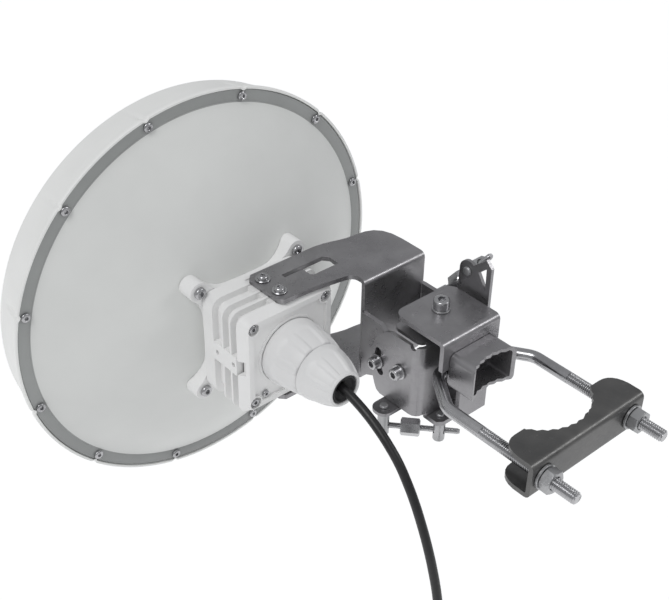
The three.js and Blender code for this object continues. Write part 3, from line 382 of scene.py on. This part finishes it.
def turned(profile, steps, axis="y", at=(0, 0, 0), offset=None, into=None, turn=0):
    """A closed solid of revolution in millimetres. The profile is a loop of (radius, along),
    or of (radius, along, flat), which keeps the radius inside a hexagon of that half width.

    offset(angle, radius, along) may return a new radius at that angle."""
    mesh = into or bmesh.new()
    across, up, forward = axes_of(axis)
    origin = Vector(at)
    rings = []
    for step in range(steps):
        angle = 2 * pi * step / steps
        ring = []
        for radius, along, *flat in profile:
            if flat:
                radius = min(radius, hexagonal(angle, flat[0]))
            if offset:
                radius = offset(angle, radius, along)
            u, v = radius * sin(angle + turn), radius * cos(angle + turn)
            ring.append((origin + across * u + up * v + forward * along) * MM)
        rings.append(ring)
    before = len(mesh.verts)
    skinned(mesh, rings, True)
    mesh.verts.ensure_lookup_table()
    fresh = mesh.verts[before:]
    bmesh.ops.remove_doubles(mesh, verts=fresh, dist=0.0005 * MM)
    flat_faces = [face for face in mesh.faces if face.calc_area() < 1e-14]
    bmesh.ops.delete(mesh, geom=flat_faces, context="FACES_ONLY")
    loose = [edge for edge in mesh.edges if not edge.link_faces]
    bmesh.ops.delete(mesh, geom=loose, context="EDGES")
    return mesh


def rounded(profile, radius, steps):
    """Rounds the corners of a loop of points by up to a radius, apart from those on the axis."""
    result = []
    count = len(profile)
    for i, corner in enumerate(profile):
        c = Vector(corner)
        before = Vector(profile[i - 1]) - c
        after = Vector(profile[(i + 1) % count]) - c
        reach = min(radius, before.length * 0.45, after.length * 0.45)
        if reach < 0.02 or c.x == 0:
            result.append(corner)
            continue
        start, end = c + before.normalized() * reach, c + after.normalized() * reach
        for k in range(steps + 1):
            t = k / steps
            point = start * (1 - t) ** 2 + c * 2 * t * (1 - t) + end * t ** 2
            result.append((point.x, point.y))
    return result


# ---- Cable --------------------------------------------------------------------------------

CABLE_R = 3.75
ROUTE = [
    (93, -120, 0), (93, -111, 0), (93, -102, -0.8), (93, -91, -3.4), (93, -78, -8),
    (93, -65, -14.6), (93, -53, -22.6), (93, -42, -32.1), (93, -33, -43.2), (93, -24.4, -56),
    (93, -15, -73.5), (93, -6.6, -92), (93, 0.8, -112), (93, 6.9, -133), (93, 10.6, -153),
    (93, 12.4, -172), (93, 12.8, -190), (93, 12.8, -206),
]
COIL_AT = Vector((93, 59.8, -239))
COIL_R = 43
COIL_TURNS = 4.2
FIRST_LANE = (4, 0)
PLUG_SIDE = 16.3  # how far the cable's end and its plug lie beside the coil's middle
# Where the cable moves over to its next lane: from and to, in turns, then the lane's distance
# outward and sideways from the middle of the bundle.
LANES = [
    (0.65, 1.0, 4, -8), (1.3, 1.65, -4, -8), (2.0, 2.3, -4, 0), (3.0, 3.3, -4, 8),
    (3.4, 3.72, 4, 8), (3.74, 4.1, 4, PLUG_SIDE), (4.0, 4.2, 0, PLUG_SIDE),
]
CABLE_END = COIL_AT + Vector((PLUG_SIDE, -6, -COIL_R))
PLUG_AT = COIL_AT + Vector((PLUG_SIDE, 16, -COIL_R))
PLUG_HALF = 5.8  # half the plug's width, across its contacts
CONTACTS = 8
CONTACT_STEP = 1.325


def eased(amount):
    """A smooth step from 0 to 1."""
    amount = min(max(amount, 0), 1)
    return amount * amount * (3 - 2 * amount)


def lane_at(turns):
    """How far outward and sideways the cable lies, this many turns along the coil."""
    out, side = FIRST_LANE
    for start, end, next_out, next_side in LANES:
        share = eased((turns - start) / (end - start))
        out += (next_out - out) * share
        side += (next_side - side) * share
    return out, side


def coil_point(turns, out, side):
    """A point of the coil: it starts on its -Y side, going down."""
    angle = 2 * pi * turns
    radius = COIL_R + out
    return COIL_AT + Vector((side, -radius * cos(angle), -radius * sin(angle)))


def coil_points():
    """The whole coil's centre line."""
    per_turn = 20
    count = round(COIL_TURNS * per_turn)
    return [coil_point(k / per_turn, *lane_at(k / per_turn)) for k in range(count + 1)]


def cable():
    """The jacket: out of the gland, down its route, round the coil and into the plug's boot."""
    data = bpy.data.curves.new("cable_jacket", "CURVE")
    data.dimensions = "3D"
    data.bevel_depth = CABLE_R * MM
    data.bevel_resolution = 6
    data.resolution_u = 6
    data.use_fill_caps = True
    points = [*(Vector(point) for point in ROUTE), *coil_points(), CABLE_END]
    spline = data.splines.new("BEZIER")
    spline.bezier_points.add(len(points) - 1)
    for knot, point in zip(spline.bezier_points, points):
        knot.co = point * MM
        knot.handle_left_type = knot.handle_right_type = "AUTO"
    made = bpy.data.objects.new("cable_jacket", data)
    bpy.context.scene.collection.objects.link(made)
    data.materials.append(looks["black_jacket"])
    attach(made, body_of("ethernet_cable"))
    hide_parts("ethernet_cable", "cable_coil")
    return made


def strap(name, turns):
    """A hook-and-loop strap round the coil's bundle, this many turns along the coil."""
    angle = 2 * pi * turns
    forward = Vector((0, sin(angle), -cos(angle)))
    lanes = [lane_at(turns + k) for k in range(int(COIL_TURNS) + 1) if turns + k <= COIL_TURNS]
    directions = [(cos(2 * pi * k / 48), sin(2 * pi * k / 48)) for k in range(48)]

    def loop(reach, along):
        ring = []
        for u, v in directions:
            out, side = max(lanes, key=lambda lane: lane[0] * u + lane[1] * v)
            point = coil_point(turns, out + reach * u, side + reach * v)
            ring.append((point + forward * along) * MM)
        return ring

    mesh = bmesh.new()
    inner, outer, half_wide = CABLE_R + 0.15, CABLE_R + 0.95, 5
    section = [(inner, -half_wide), (outer, -half_wide), (outer, half_wide), (inner, half_wide)]
    skinned(mesh, [loop(*corner) for corner in section], True)
    made = piece(name, mesh, body_of("cable_coil"), "black_jacket", look="strap_weave")
    return bevelled(made, 0.25)


def boxed(mesh, x0, x1, y0, y1, z0, z1, at):
    """Adds a box with these six sides, measured from at."""
    corners = [[(x, y0, z0), (x, y1, z0), (x, y1, z1), (x, y0, z1)] for x in (x0, x1)]
    capped(mesh, [[(at + Vector(corner)) * MM for corner in ring] for ring in corners])


def plug_shell():
    """The modular plug's clear body: a solid back, a comb between its contacts, and a latch."""
    mesh = bmesh.new()
    boxed(mesh, -4, 4, -11, 6, -PLUG_HALF, PLUG_HALF, PLUG_AT)
    boxed(mesh, -2.4, 4, 6, 11, -PLUG_HALF, PLUG_HALF, PLUG_AT)
    for k in range(CONTACTS + 1):
        low = -PLUG_HALF + k * CONTACT_STEP
        thick = 1.0 if k in (0, CONTACTS) else 0.45
        boxed(mesh, -4, -2.4, 6, 11, low, low + thick, PLUG_AT)
    boxed(mesh, 4, 4.8, 8.6, 10.8, -2.2, 2.2, PLUG_AT)
    boxed(mesh, 4.8, 5.6, -3.8, 10, -2.2, 2.2, PLUG_AT)
    made = piece("plug_shell", mesh, body_of("end_plug"), "feed_plastic", ["end_plug"],
                 "clear_plastic")
    return bevelled(made, 0.2)


def plug_contacts():
    """The gold blades in the comb."""
    mesh = bmesh.new()
    for k in range(CONTACTS):
        low = -PLUG_HALF + k * CONTACT_STEP + (1.05 if k == 0 else 0.5)
        boxed(mesh, -3.7, -2.6, 6.4, 10.8, low, low + 0.6, PLUG_AT)
    return piece("plug_contacts", mesh, body_of("end_plug"), "nut_steel", look="gold")


def plug_boot():
    """The ribbed rubber boot, which goes from the cable's round to the plug's flat shape."""
    steps, sides = 24, 28
    start, length = -26, 15.2
    squareness = 0.6  # 1 would be an ellipse, and less is squarer
    rings = []
    for k in range(steps + 1):
        share = eased(k / steps)
        rib = 0.35 if 4 < k < 18 and k % 3 == 0 else 0
        half_x = 3.9 + 0.1 * share + rib * 0.2
        half_z = 3.9 + 0.7 * share + rib
        ring = []
        for step in range(sides):
            c, s = cos(2 * pi * step / sides), sin(2 * pi * step / sides)
            x = half_x * abs(c) ** squareness * (1 if c > 0 else -1)
            z = half_z * abs(s) ** squareness * (1 if s > 0 else -1)
            ring.append((PLUG_AT + Vector((x, start + length * k / steps, z))) * MM)
        rings.append(ring)
    mesh = bmesh.new()
    capped(mesh, rings)
    return piece("plug_boot", mesh, body_of("end_plug"), "black_rubber")


def cord():
    jacket_piece = cable()
    straps = [strap("coil_strap_top", 0.75), strap("coil_strap_low", 0.4)]
    plug = [plug_shell(), plug_contacts(), plug_boot()]


# ---- Fasteners ----------------------------------------------------------------------------

# Each kind of screw: its head's radius and height, the shank's radius, half the width of its
# hexagon socket, its washer's radius and thickness, and how much of the head is rounded.
LUG_SCREW = {"head": (5, 3.2), "shank": 2.5, "recess": 2}
ARM_SCREW = {"head": (4.4, 2.9), "shank": 2.3, "recess": 1.7, "washer": (6.3, 0.9), "dome": 0.8}
EARTH_SCREW = {"head": (3, 2.2), "shank": 1.6, "recess": 1.2}
TILT_BOLT = {"head": (5, 6), "shank": 3, "recess": 2.5, "washer": (6.5, 1.5), "dome": 0.16}
PAN_BOLT = {"head": (6.5, 8), "shank": 3.9, "recess": 3, "dome": 0.14}
RIM_SCREW = {"head": (4.1, 2.4), "shank": 2, "recess": 1.5}
COVER_SCREW = {"head": (3.7, 2.8), "shank": 1.8, "recess": 1.5}

CORNERS = [(1, 1), (1, -1), (-1, -1), (-1, 1)]
LUG_SCREW_AT = 48.4  # how far out and up the screw in each corner is from the dish's axis
COVER_SCREW_AT = 35.7
RIM_SCREWS = 12
RIM_SCREWS_R = 170
TILT_LOCK = Vector((0, -125.5, -12.5))  # the lock bolts in the slots
LEG_X = 49  # the U-bolt's legs


def socket_screw(mesh, axis, at, seat, out, tip, head, shank, recess, washer=None, dome=0.5):
    """Adds a screw with a hexagon socket: seat and tip are places along its axis, and out is
    the way its head points, 1 or -1."""
    radius, height = head
    low = washer[1] if washer else 0
    profile = [(0, tip), (shank, tip), (shank, seat)]
    if washer:
        wide, thick = washer
        profile += [(wide - 0.15, seat), (wide, seat + out * 0.2),
                    (wide, seat + out * (thick - 0.3)), (wide - 0.3, seat + out * thick)]
    shoulder = low + height * (1 - dome)
    profile += [(radius, seat + out * (low + 0.05)), (radius, seat + out * shoulder)]
    mouth = recess * 1.28
    for k in range(1, 6):
        share = k / 5
        rise = sin(share * pi / 2) * height * dome
        profile.append((mouth + (radius - mouth) * cos(share * pi / 2),
                        seat + out * (shoulder + rise)))
    top = seat + out * (low + height)
    deep = top - out * min(height * 0.62, 4)
    profile += [(mouth, top - out * 0.01), (recess * 1.2, top - out * 0.25, recess),
                (recess * 1.2, deep, recess), (0, deep)]
    return turned(profile, 48, axis, at, into=mesh)


def screw(node, axis, at, seat, out, tip, kind):
    """A screw that stands for its CAD node."""
    mesh = socket_screw(bmesh.new(), axis, at, seat, out, tip, **kind)
    piece(node + "_turned", mesh, body_of(node), SLOTS[node], [node], smooth=40)


def nut(node, axis, at, across, bore, turn=0):
    """A hexagon nut with chamfered corners, as long as its CAD node."""
    low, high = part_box(node)
    index = "xyz".index(axis)
    start, end = low[index] / MM, high[index] / MM
    flat, corner = across / 2, across / 3 ** 0.5
    chamfer = (corner - flat) * 0.6
    rise = [0.0, 0.33, 0.66, 1.0]
    side = [(flat * 0.97 + (corner - flat * 0.97) * t, start + chamfer * t, flat) for t in rise]
    back = [(radius, start + end - along, flat) for radius, along, _ in reversed(side)]
    profile = [(bore, start + 0.7), (bore + 0.7, start), *side, *back, (bore + 0.7, end),
               (bore, end - 0.7)]
    mesh = turned(profile, 72, axis, at, turn=turn)
    piece(node + "_chamfered", mesh, body_of(node), SLOTS[node], [node], smooth=28)


def threaded(mesh, axis, start, end, radius, pitch, depth, at):
    """Adds a rod with a helical thread, rounded at its ends."""
    across, up, forward = axes_of(axis)
    steps = int((end - start) / pitch * 6)
    sides = 24
    rings = []
    for k in range(steps + 1):
        along = start + (end - start) * k / steps
        from_end = min(along - start, end - along)
        ease = min(1, 0.75 + from_end / (2 * pitch) * 0.25)
        ring = []
        for step in range(sides):
            angle = 2 * pi * step / sides
            phase = (along / pitch - step / sides) % 1
            reach = (radius - depth * abs(2 * phase - 1)) * ease
            ring.append((at + across * reach * sin(angle) + up * reach * cos(angle)
                         + forward * along) * MM)
        rings.append(ring)
    capped(mesh, rings)


def radio_screws():
    """The adapter flange's four screws, the arm's four and the earthing screw."""
    for k, (u, v) in enumerate(CORNERS):
        at = (DISH.x + u * LUG_SCREW_AT, 0, DISH.z + v * LUG_SCREW_AT)
        screw(f"flange_screw_{k + 1}", "y", at, DISH.y + 61.3, 1, DISH.y + 37, LUG_SCREW)
    for name, side in (("top", 1), ("bottom", -1)):
        for k, y in enumerate((78.5, 99.3)):
            at = (DISH.x, DISH.y + y, 0)
            screw(f"arm_screw_{name}_{k + 1}", "z", at, side * 49.8, side, side * 38, ARM_SCREW)
    screw("ground_screw", "y", (DISH.x + 25.5, 0, DISH.z - 31.5), DISH.y + 111.3, 1,
          DISH.y + 107.8, EARTH_SCREW)


def mount_bolts():
    """The pivot and lock bolts on both sides of the tilt head, and the two pan bolts."""
    for name, at in (("pivot", PIVOTS["elevation"]), ("lock", TILT_LOCK)):
        for hand, side in (("near", 1), ("far", -1)):
            screw(f"elevation_{name}_bolt_{hand}", "x", at, side * 38.7, side, side * 25,
                  TILT_BOLT)
    screw("azimuth_bolt", "z", PIVOTS["azimuth"], 38.1, 1, 12, PAN_BOLT)
    screw("lower_azimuth_bolt", "z", PIVOTS["azimuth"], -52.3, -1, -37, PAN_BOLT)


def nuts_and_washers():
    """Every nut, and the washers, spacer and rivets that keep their CAD shape."""
    for hand, side in (("left", 1), ("right", -1)):
        nut(f"clamp_nut_{hand}", "y", (side * LEG_X, 0, 0), 17, 5.3, -side * 0.3)
    for node in ("azimuth_nut", "lower_azimuth_nut"):
        nut(node, "z", PIVOTS["azimuth"], 13, 4.2)
    nut("gland_locknut", "y", (DISH.x, 0, DISH.z), 36, 14.5)
    for node in ("azimuth_washer", "azimuth_spacer", "clamp_washer_left", "clamp_washer_right",
                 "saddle_rivet_1", "saddle_rivet_2"):
        refined(node, 0.25, 2)


def loose_screws():
    """The rim's twelve screws and the cover's four, which have no CAD nodes of their own."""
    rim = bmesh.new()
    for k in range(RIM_SCREWS):
        angle = 2 * pi * (k + 0.5) / RIM_SCREWS
        at = (DISH.x + RIM_SCREWS_R * sin(angle), 0, DISH.z + RIM_SCREWS_R * cos(angle))
        socket_screw(rim, "y", at, DISH.y - 1.1, 1, DISH.y - 4, **RIM_SCREW)
    piece("rim_screws", rim, body_of("reflector"), "bolt_steel", smooth=40)
    cover = bmesh.new()
    for u, v in CORNERS:
        at = (DISH.x + u * COVER_SCREW_AT, 0, DISH.z + v * COVER_SCREW_AT)
        socket_screw(cover, "y", at, DISH.y + 109.9, 1, DISH.y + 93, **COVER_SCREW)
    piece("cover_screws", cover, body_of("rear_cover"), "bolt_steel", smooth=40)


# ---- Dish ---------------------------------------------------------------------------------

# The outlines here and on the gland are (radius, along), with along measured back from the rim
# screws' circle.
BOWL_R = 164.7
BOWL_HOLE_R = 14
BOWL_BACK = 58  # the bowl's back on the axis, behind the rim screws' circle
BOWL_DEPTH = 59


def bowl(radius):
    """How far behind the rim screws' circle the bowl's back is."""
    return BOWL_BACK - BOWL_DEPTH * (radius / BOWL_R) ** 2


def radome():
    """The front cover, with a shallow groove down its skirt beside each rim screw."""
    skirt_start, lip_start = -37, -5
    skirt = [(170.4 + 5.8 * t, -38 + 33 * t) for t in [k / 10 for k in range(11)]]
    profile = rounded([
        (0, -50), (45, -49.7), (90, -48.8), (125, -47.6), (150, -46), (165, -43), *skirt,
        (177.6, -4.2), (178, -3.4), (178, -0.5), (177.6, 0), (175.9, 0), (175.7, -0.4),
        (175.7, -5.3), (164.5, -5.3), (164.5, -14), (171.4, -17), (166, -39), (90, -46.2),
        (0, -47.5),
    ], 0.6, 2)

    def grooved(angle, radius, along):
        if radius <= 170.4 or along < skirt_start or (radius < 176 and along > lip_start):
            return radius
        step = 2 * pi / RIM_SCREWS
        off = angle % step - step / 2
        across = max(0, 1 - abs(off) / radians(1.15))
        depth = 1.7 * min(1, (along - skirt_start) / 30)
        return radius - depth * eased(across)

    mesh = turned(profile, 960, at=DISH, offset=grooved)
    piece("radome_shell", mesh, body_of("radome"), "white_plastic", ["radome"], smooth=30)


def reflector():
    """The spun bowl, and its flat rim in a darker paint."""
    steps = 26
    radii = [BOWL_HOLE_R + (BOWL_R - BOWL_HOLE_R) * k / steps for k in range(steps + 1)]
    back = [(radius, bowl(radius)) for radius in radii]
    front = [(radius, along - 1.8) for radius, along in reversed(back)]
    lip = [(165.6, -1.5), (166.4, -1.2), (174.9, -1.2), (175.2, -1.5), (175.2, -2.7),
           (174.9, -3)]
    mesh = turned([*back, *lip, *front], 216, at=DISH)
    made = piece("reflector_bowl", mesh, body_of("reflector"), "dish_paint", ["reflector"])
    made.data.materials.append(looks["rim_paint"])
    for face in made.data.polygons:
        centre = Vector(face.center) / MM - DISH
        if Vector((centre.x, centre.z)).length > BOWL_R + 0.2:
            face.material_index = 1


def gland():
    """Both halves of the cable gland, with eight finger hollows round each narrow end."""
    hollows = 8

    def hollowed(start, end, depth):
        """An offset for turned() that presses the hollows in between two places along."""
        def shaped(angle, radius, along):
            share = (along - DISH.y - start) / (end - start)
            if radius < 12.6 or not 0 < share <= 1:
                return radius
            half = pi / hollows
            off = abs((angle + half) % (2 * half) - half) / half
            inside = min(eased((0.8 - off) / 0.3), eased((share - 0.22 * off ** 2) / 0.22),
                         eased((1 - share) / 0.1))
            return radius - depth * inside * (0.55 + 0.45 * share)
        return shaped

    def from_dish(points):
        return [(radius, along + DISH.y) for radius, along in points]

    sleeve = [(28.5 - 0.4 * t ** 1.5 - 3.2 * t ** 3, 113 + 31.6 * t)
              for t in [k / 30 for k in range(31)]]
    body = from_dish([
        (11.6, 102.4), (14.2, 102.4), (14.2, 111.3), (27.4, 111.3), (28.2, 112), *sleeve,
        (24.5, 145.3), (23.7, 145.8), (22.6, 146), (16.6, 146.3), (16.6, 160), (11.6, 160),
    ])
    mesh = turned(body, 240, at=(DISH.x, 0, DISH.z), offset=hollowed(121, 147.5, 1.7))
    piece("gland_body_moulded", mesh, body_of("gland_body"), "gland_plastic", ["gland_body"],
          smooth=50)
    nose = [(23.5 - 1.7 * t ** 1.4 - 6.4 * t ** 2.1, 147.6 + 29.2 * t)
            for t in [k / 30 for k in range(31)]]
    cap = from_dish([
        (17, 146.7), (22.6, 146.7), (23.2, 147), *nose, (14.9, 177.5), (14.3, 178), (12.9, 178),
        (12.4, 177.4), (12.4, 162), (17, 161),
    ])
    mesh = turned(cap, 240, at=(DISH.x, 0, DISH.z), offset=hollowed(152, 177, 1.5))
    piece("gland_cap_moulded", mesh, body_of("gland_cap"), "gland_plastic", ["gland_cap"],
          smooth=50)
    refined("gland_seal", 0.4, 3)


def radio():
    """The castings and seals between the dish and the gland."""
    refined("adapter_flange", 0.9, 3)
    refined("radio_housing", 0.7, 3)
    refined("rear_cover", 0.5, 3)
    refined("rim_gasket", 0.2, 2)
    refined("backing_ring", 0.3, 2)


# ---- Mount --------------------------------------------------------------------------------

LEG_END = 85
ROD_R = 5
THREAD_FROM = -3
THREAD_PITCH = 1.75
THREAD_DEPTH = 0.85


def bend(first, middle, last):
    """Points along a smooth bend, after its first point."""
    a, b, c = Vector(first), Vector(middle), Vector(last)
    shares = [k / 10 for k in range(1, 11)]
    return [a * (1 - t) ** 2 + b * 2 * t * (1 - t) + c * t ** 2 for t in shares]


def u_bolt_path():
    """The rod's centre line as (x, y), from the end of one leg to the end of the other."""
    threaded_length = LEG_END - THREAD_FROM
    count = int(threaded_length / THREAD_PITCH * 8)
    half = [Vector((LEG_X, LEG_END - threaded_length * k / count)) for k in range(count + 1)]
    half += [Vector((LEG_X, y)) for y in (-3.4, -12, -22, -33.5)]
    half += bend((LEG_X, -33.5), (LEG_X, -38.8), (45.8, -43.5))
    half += [Vector((45.8, -43.5)).lerp(Vector((31.5, -64.5)), t) for t in (0.33, 0.67, 1)]
    half += bend((31.5, -64.5), (27, -71.8), (19, -71.8))
    return half + [Vector((-point.x, point.y)) for point in reversed(half)]


def u_bolt():
    """A round rod bent to a U, with a rolled thread along both legs."""
    path = u_bolt_path()
    rings = []
    sides = 28
    last = len(path) - 1
    for k, point in enumerate(path):
        ahead = path[min(k + 1, last)] - path[max(k - 1, 0)]
        forward = Vector((ahead.x, ahead.y, 0)).normalized()
        across = Vector((forward.y, -forward.x, 0))
        on_leg = abs(point.x) > LEG_X - 0.1
        on_thread = on_leg and point.y >= THREAD_FROM
        tail = min(1, (LEG_END - point.y) / 1.4) if on_leg else 1
        ring = []
        for step in range(sides):
            angle = 2 * pi * step / sides
            phase = (point.y / THREAD_PITCH - step / sides) % 1
            notch = THREAD_DEPTH * eased(1.3 * abs(2 * phase - 1) - 0.1) if on_thread else 0
            reach = (ROD_R - notch) * (0.82 + 0.18 * tail)
            side = across * reach * cos(angle) + Vector((0, 0, reach * sin(angle)))
            ring.append((Vector((point.x, point.y, 0)) + side) * MM)
        rings.append(ring)
    mesh = bmesh.new()
    capped(mesh, rings)
    piece("u_bolt_threaded", mesh, body_of("u_bolt"), "bolt_steel", ["u_bolt"], smooth=50)


def adjuster(node, start, end, length, hex_from, hex_to):
    """A threaded screw between two trunnions, with a hexagon to turn it by."""
    axis = end - start
    mesh = bmesh.new()
    threaded(mesh, axis, -3, length, 2.6, 1, 0.4, start)
    flat = 6.5
    corner = flat / cos(pi / 6)
    profile = [(0, hex_from), (5.9, hex_from, flat), (corner, hex_from + 0.9, flat),
               (corner, hex_to - 0.9, flat), (5.9, hex_to, flat), (0, hex_to)]
    turned(profile, 72, axis, start, into=mesh)
    piece(node + "_threaded", mesh, body_of(node), SLOTS[node], [node], smooth=30)


def mount():
    """The clamp, the tilt head and the two adjusting screws."""
    u_bolt()
    adjuster("azimuth_adjuster", PIVOTS["azimuth_near_pivot"], PIVOTS["azimuth_far_pivot"],
             62, 14, 30)
    adjuster("elevation_adjuster", PIVOTS["elevation_front_pivot"],
             PIVOTS["elevation_rear_pivot"], 78, 21, 37)
    for node in ("arm_bracket", "tilt_bracket", "pole_bracket"):
        refined(node, 0.7, 3, angle=50, smooth=50)
    # The jaw takes the darker jaw_steel: painted shade from the pole.
    refined("rear_jaw", 0.7, 3, "jaw_steel", 50, 50)
    refined("pole_saddle", 0.5, 2)
    for node in ("azimuth_trunnion_near", "azimuth_trunnion_far", "elevation_trunnion_front",
                 "elevation_trunnion_rear"):
        refined(node, 0.3, 2)


def inner_parts():
    """The parts that stay as the CAD made them get their materials."""
    for name, node in nodes.items():
        if not node.hide_render:
            node.data.materials.clear()
            node.data.materials.append(looks[SLOTS[name]])


# ---- Studio -------------------------------------------------------------------------------

WORLD_LIGHT = 0.48
FLOOR_GLOW = 0.3
FLOOR_Z = -2.0  # metres
LIGHT_AIM = Vector((0.05, -0.15, 0))  # metres
LIGHTS = [  # name, kind, place in metres, size in degrees or metres, strength
    ("key", "SUN", (1.25, 0.1, 1.8), 30, 1.1),
    ("fold_light", "AREA", (-1.15, 1.05, 1.1), 0.55, 5),
]


def floor():
    """A pale paper floor, well below the part."""
    mesh = bmesh.new()
    bmesh.ops.create_grid(mesh, x_segments=1, y_segments=1, size=8)
    data = bpy.data.meshes.new("floor")
    mesh.to_mesh(data)
    mesh.free()
    paper = bpy.data.objects.new("floor", data)
    bpy.context.scene.collection.objects.link(paper)
    paper.location = (0, 0, FLOOR_Z)
    made, add, link, shader = new_material("floor_paper")
    coords = add.new("ShaderNodeTexCoord").outputs["Object"]
    grain = noise(add, link, coords, 60, 2)
    link(blend_colors(add, link, spread(add, link, grain, 0, 1), (0.93, 0.93, 0.93),
                      (0.95, 0.95, 0.95)), shader.inputs["Base Color"])
    shader.inputs["Roughness"].default_value = 0.9
    shader.inputs["Emission Color"].default_value = (1, 1, 1, 1)
    shader.inputs["Emission Strength"].default_value = FLOOR_GLOW
    data.materials.append(made)


def lights():
    """Soft light from all round, a wide key and a small lamp that lights the arm's fold."""
    world = bpy.data.worlds.new("studio")
    bpy.context.scene.world = world
    world.use_nodes = True
    background = world.node_tree.nodes["Background"]
    background.inputs["Color"].default_value = (0.97, 0.98, 1.0, 1)
    background.inputs["Strength"].default_value = WORLD_LIGHT
    for name, kind, place, size, power in LIGHTS:
        data = bpy.data.lights.new(name, kind)
        data.energy = power
        if kind == "SUN":
            data.angle = radians(size)
        else:
            data.shape = "DISK"
            data.size = size
        lamp = bpy.data.objects.new(name, data)
        bpy.context.scene.collection.objects.link(lamp)
        lamp.location = place
        aim = LIGHT_AIM - Vector(place)
        lamp.rotation_euler = aim.to_track_quat("-Z", "Y").to_euler()
    bpy.context.scene.view_settings.view_transform = "Standard"


cord()
radio_screws()
mount_bolts()
nuts_and_washers()
loose_screws()
radome()
reflector()
gland()
radio()
mount()
inner_parts()
floor()
lights()
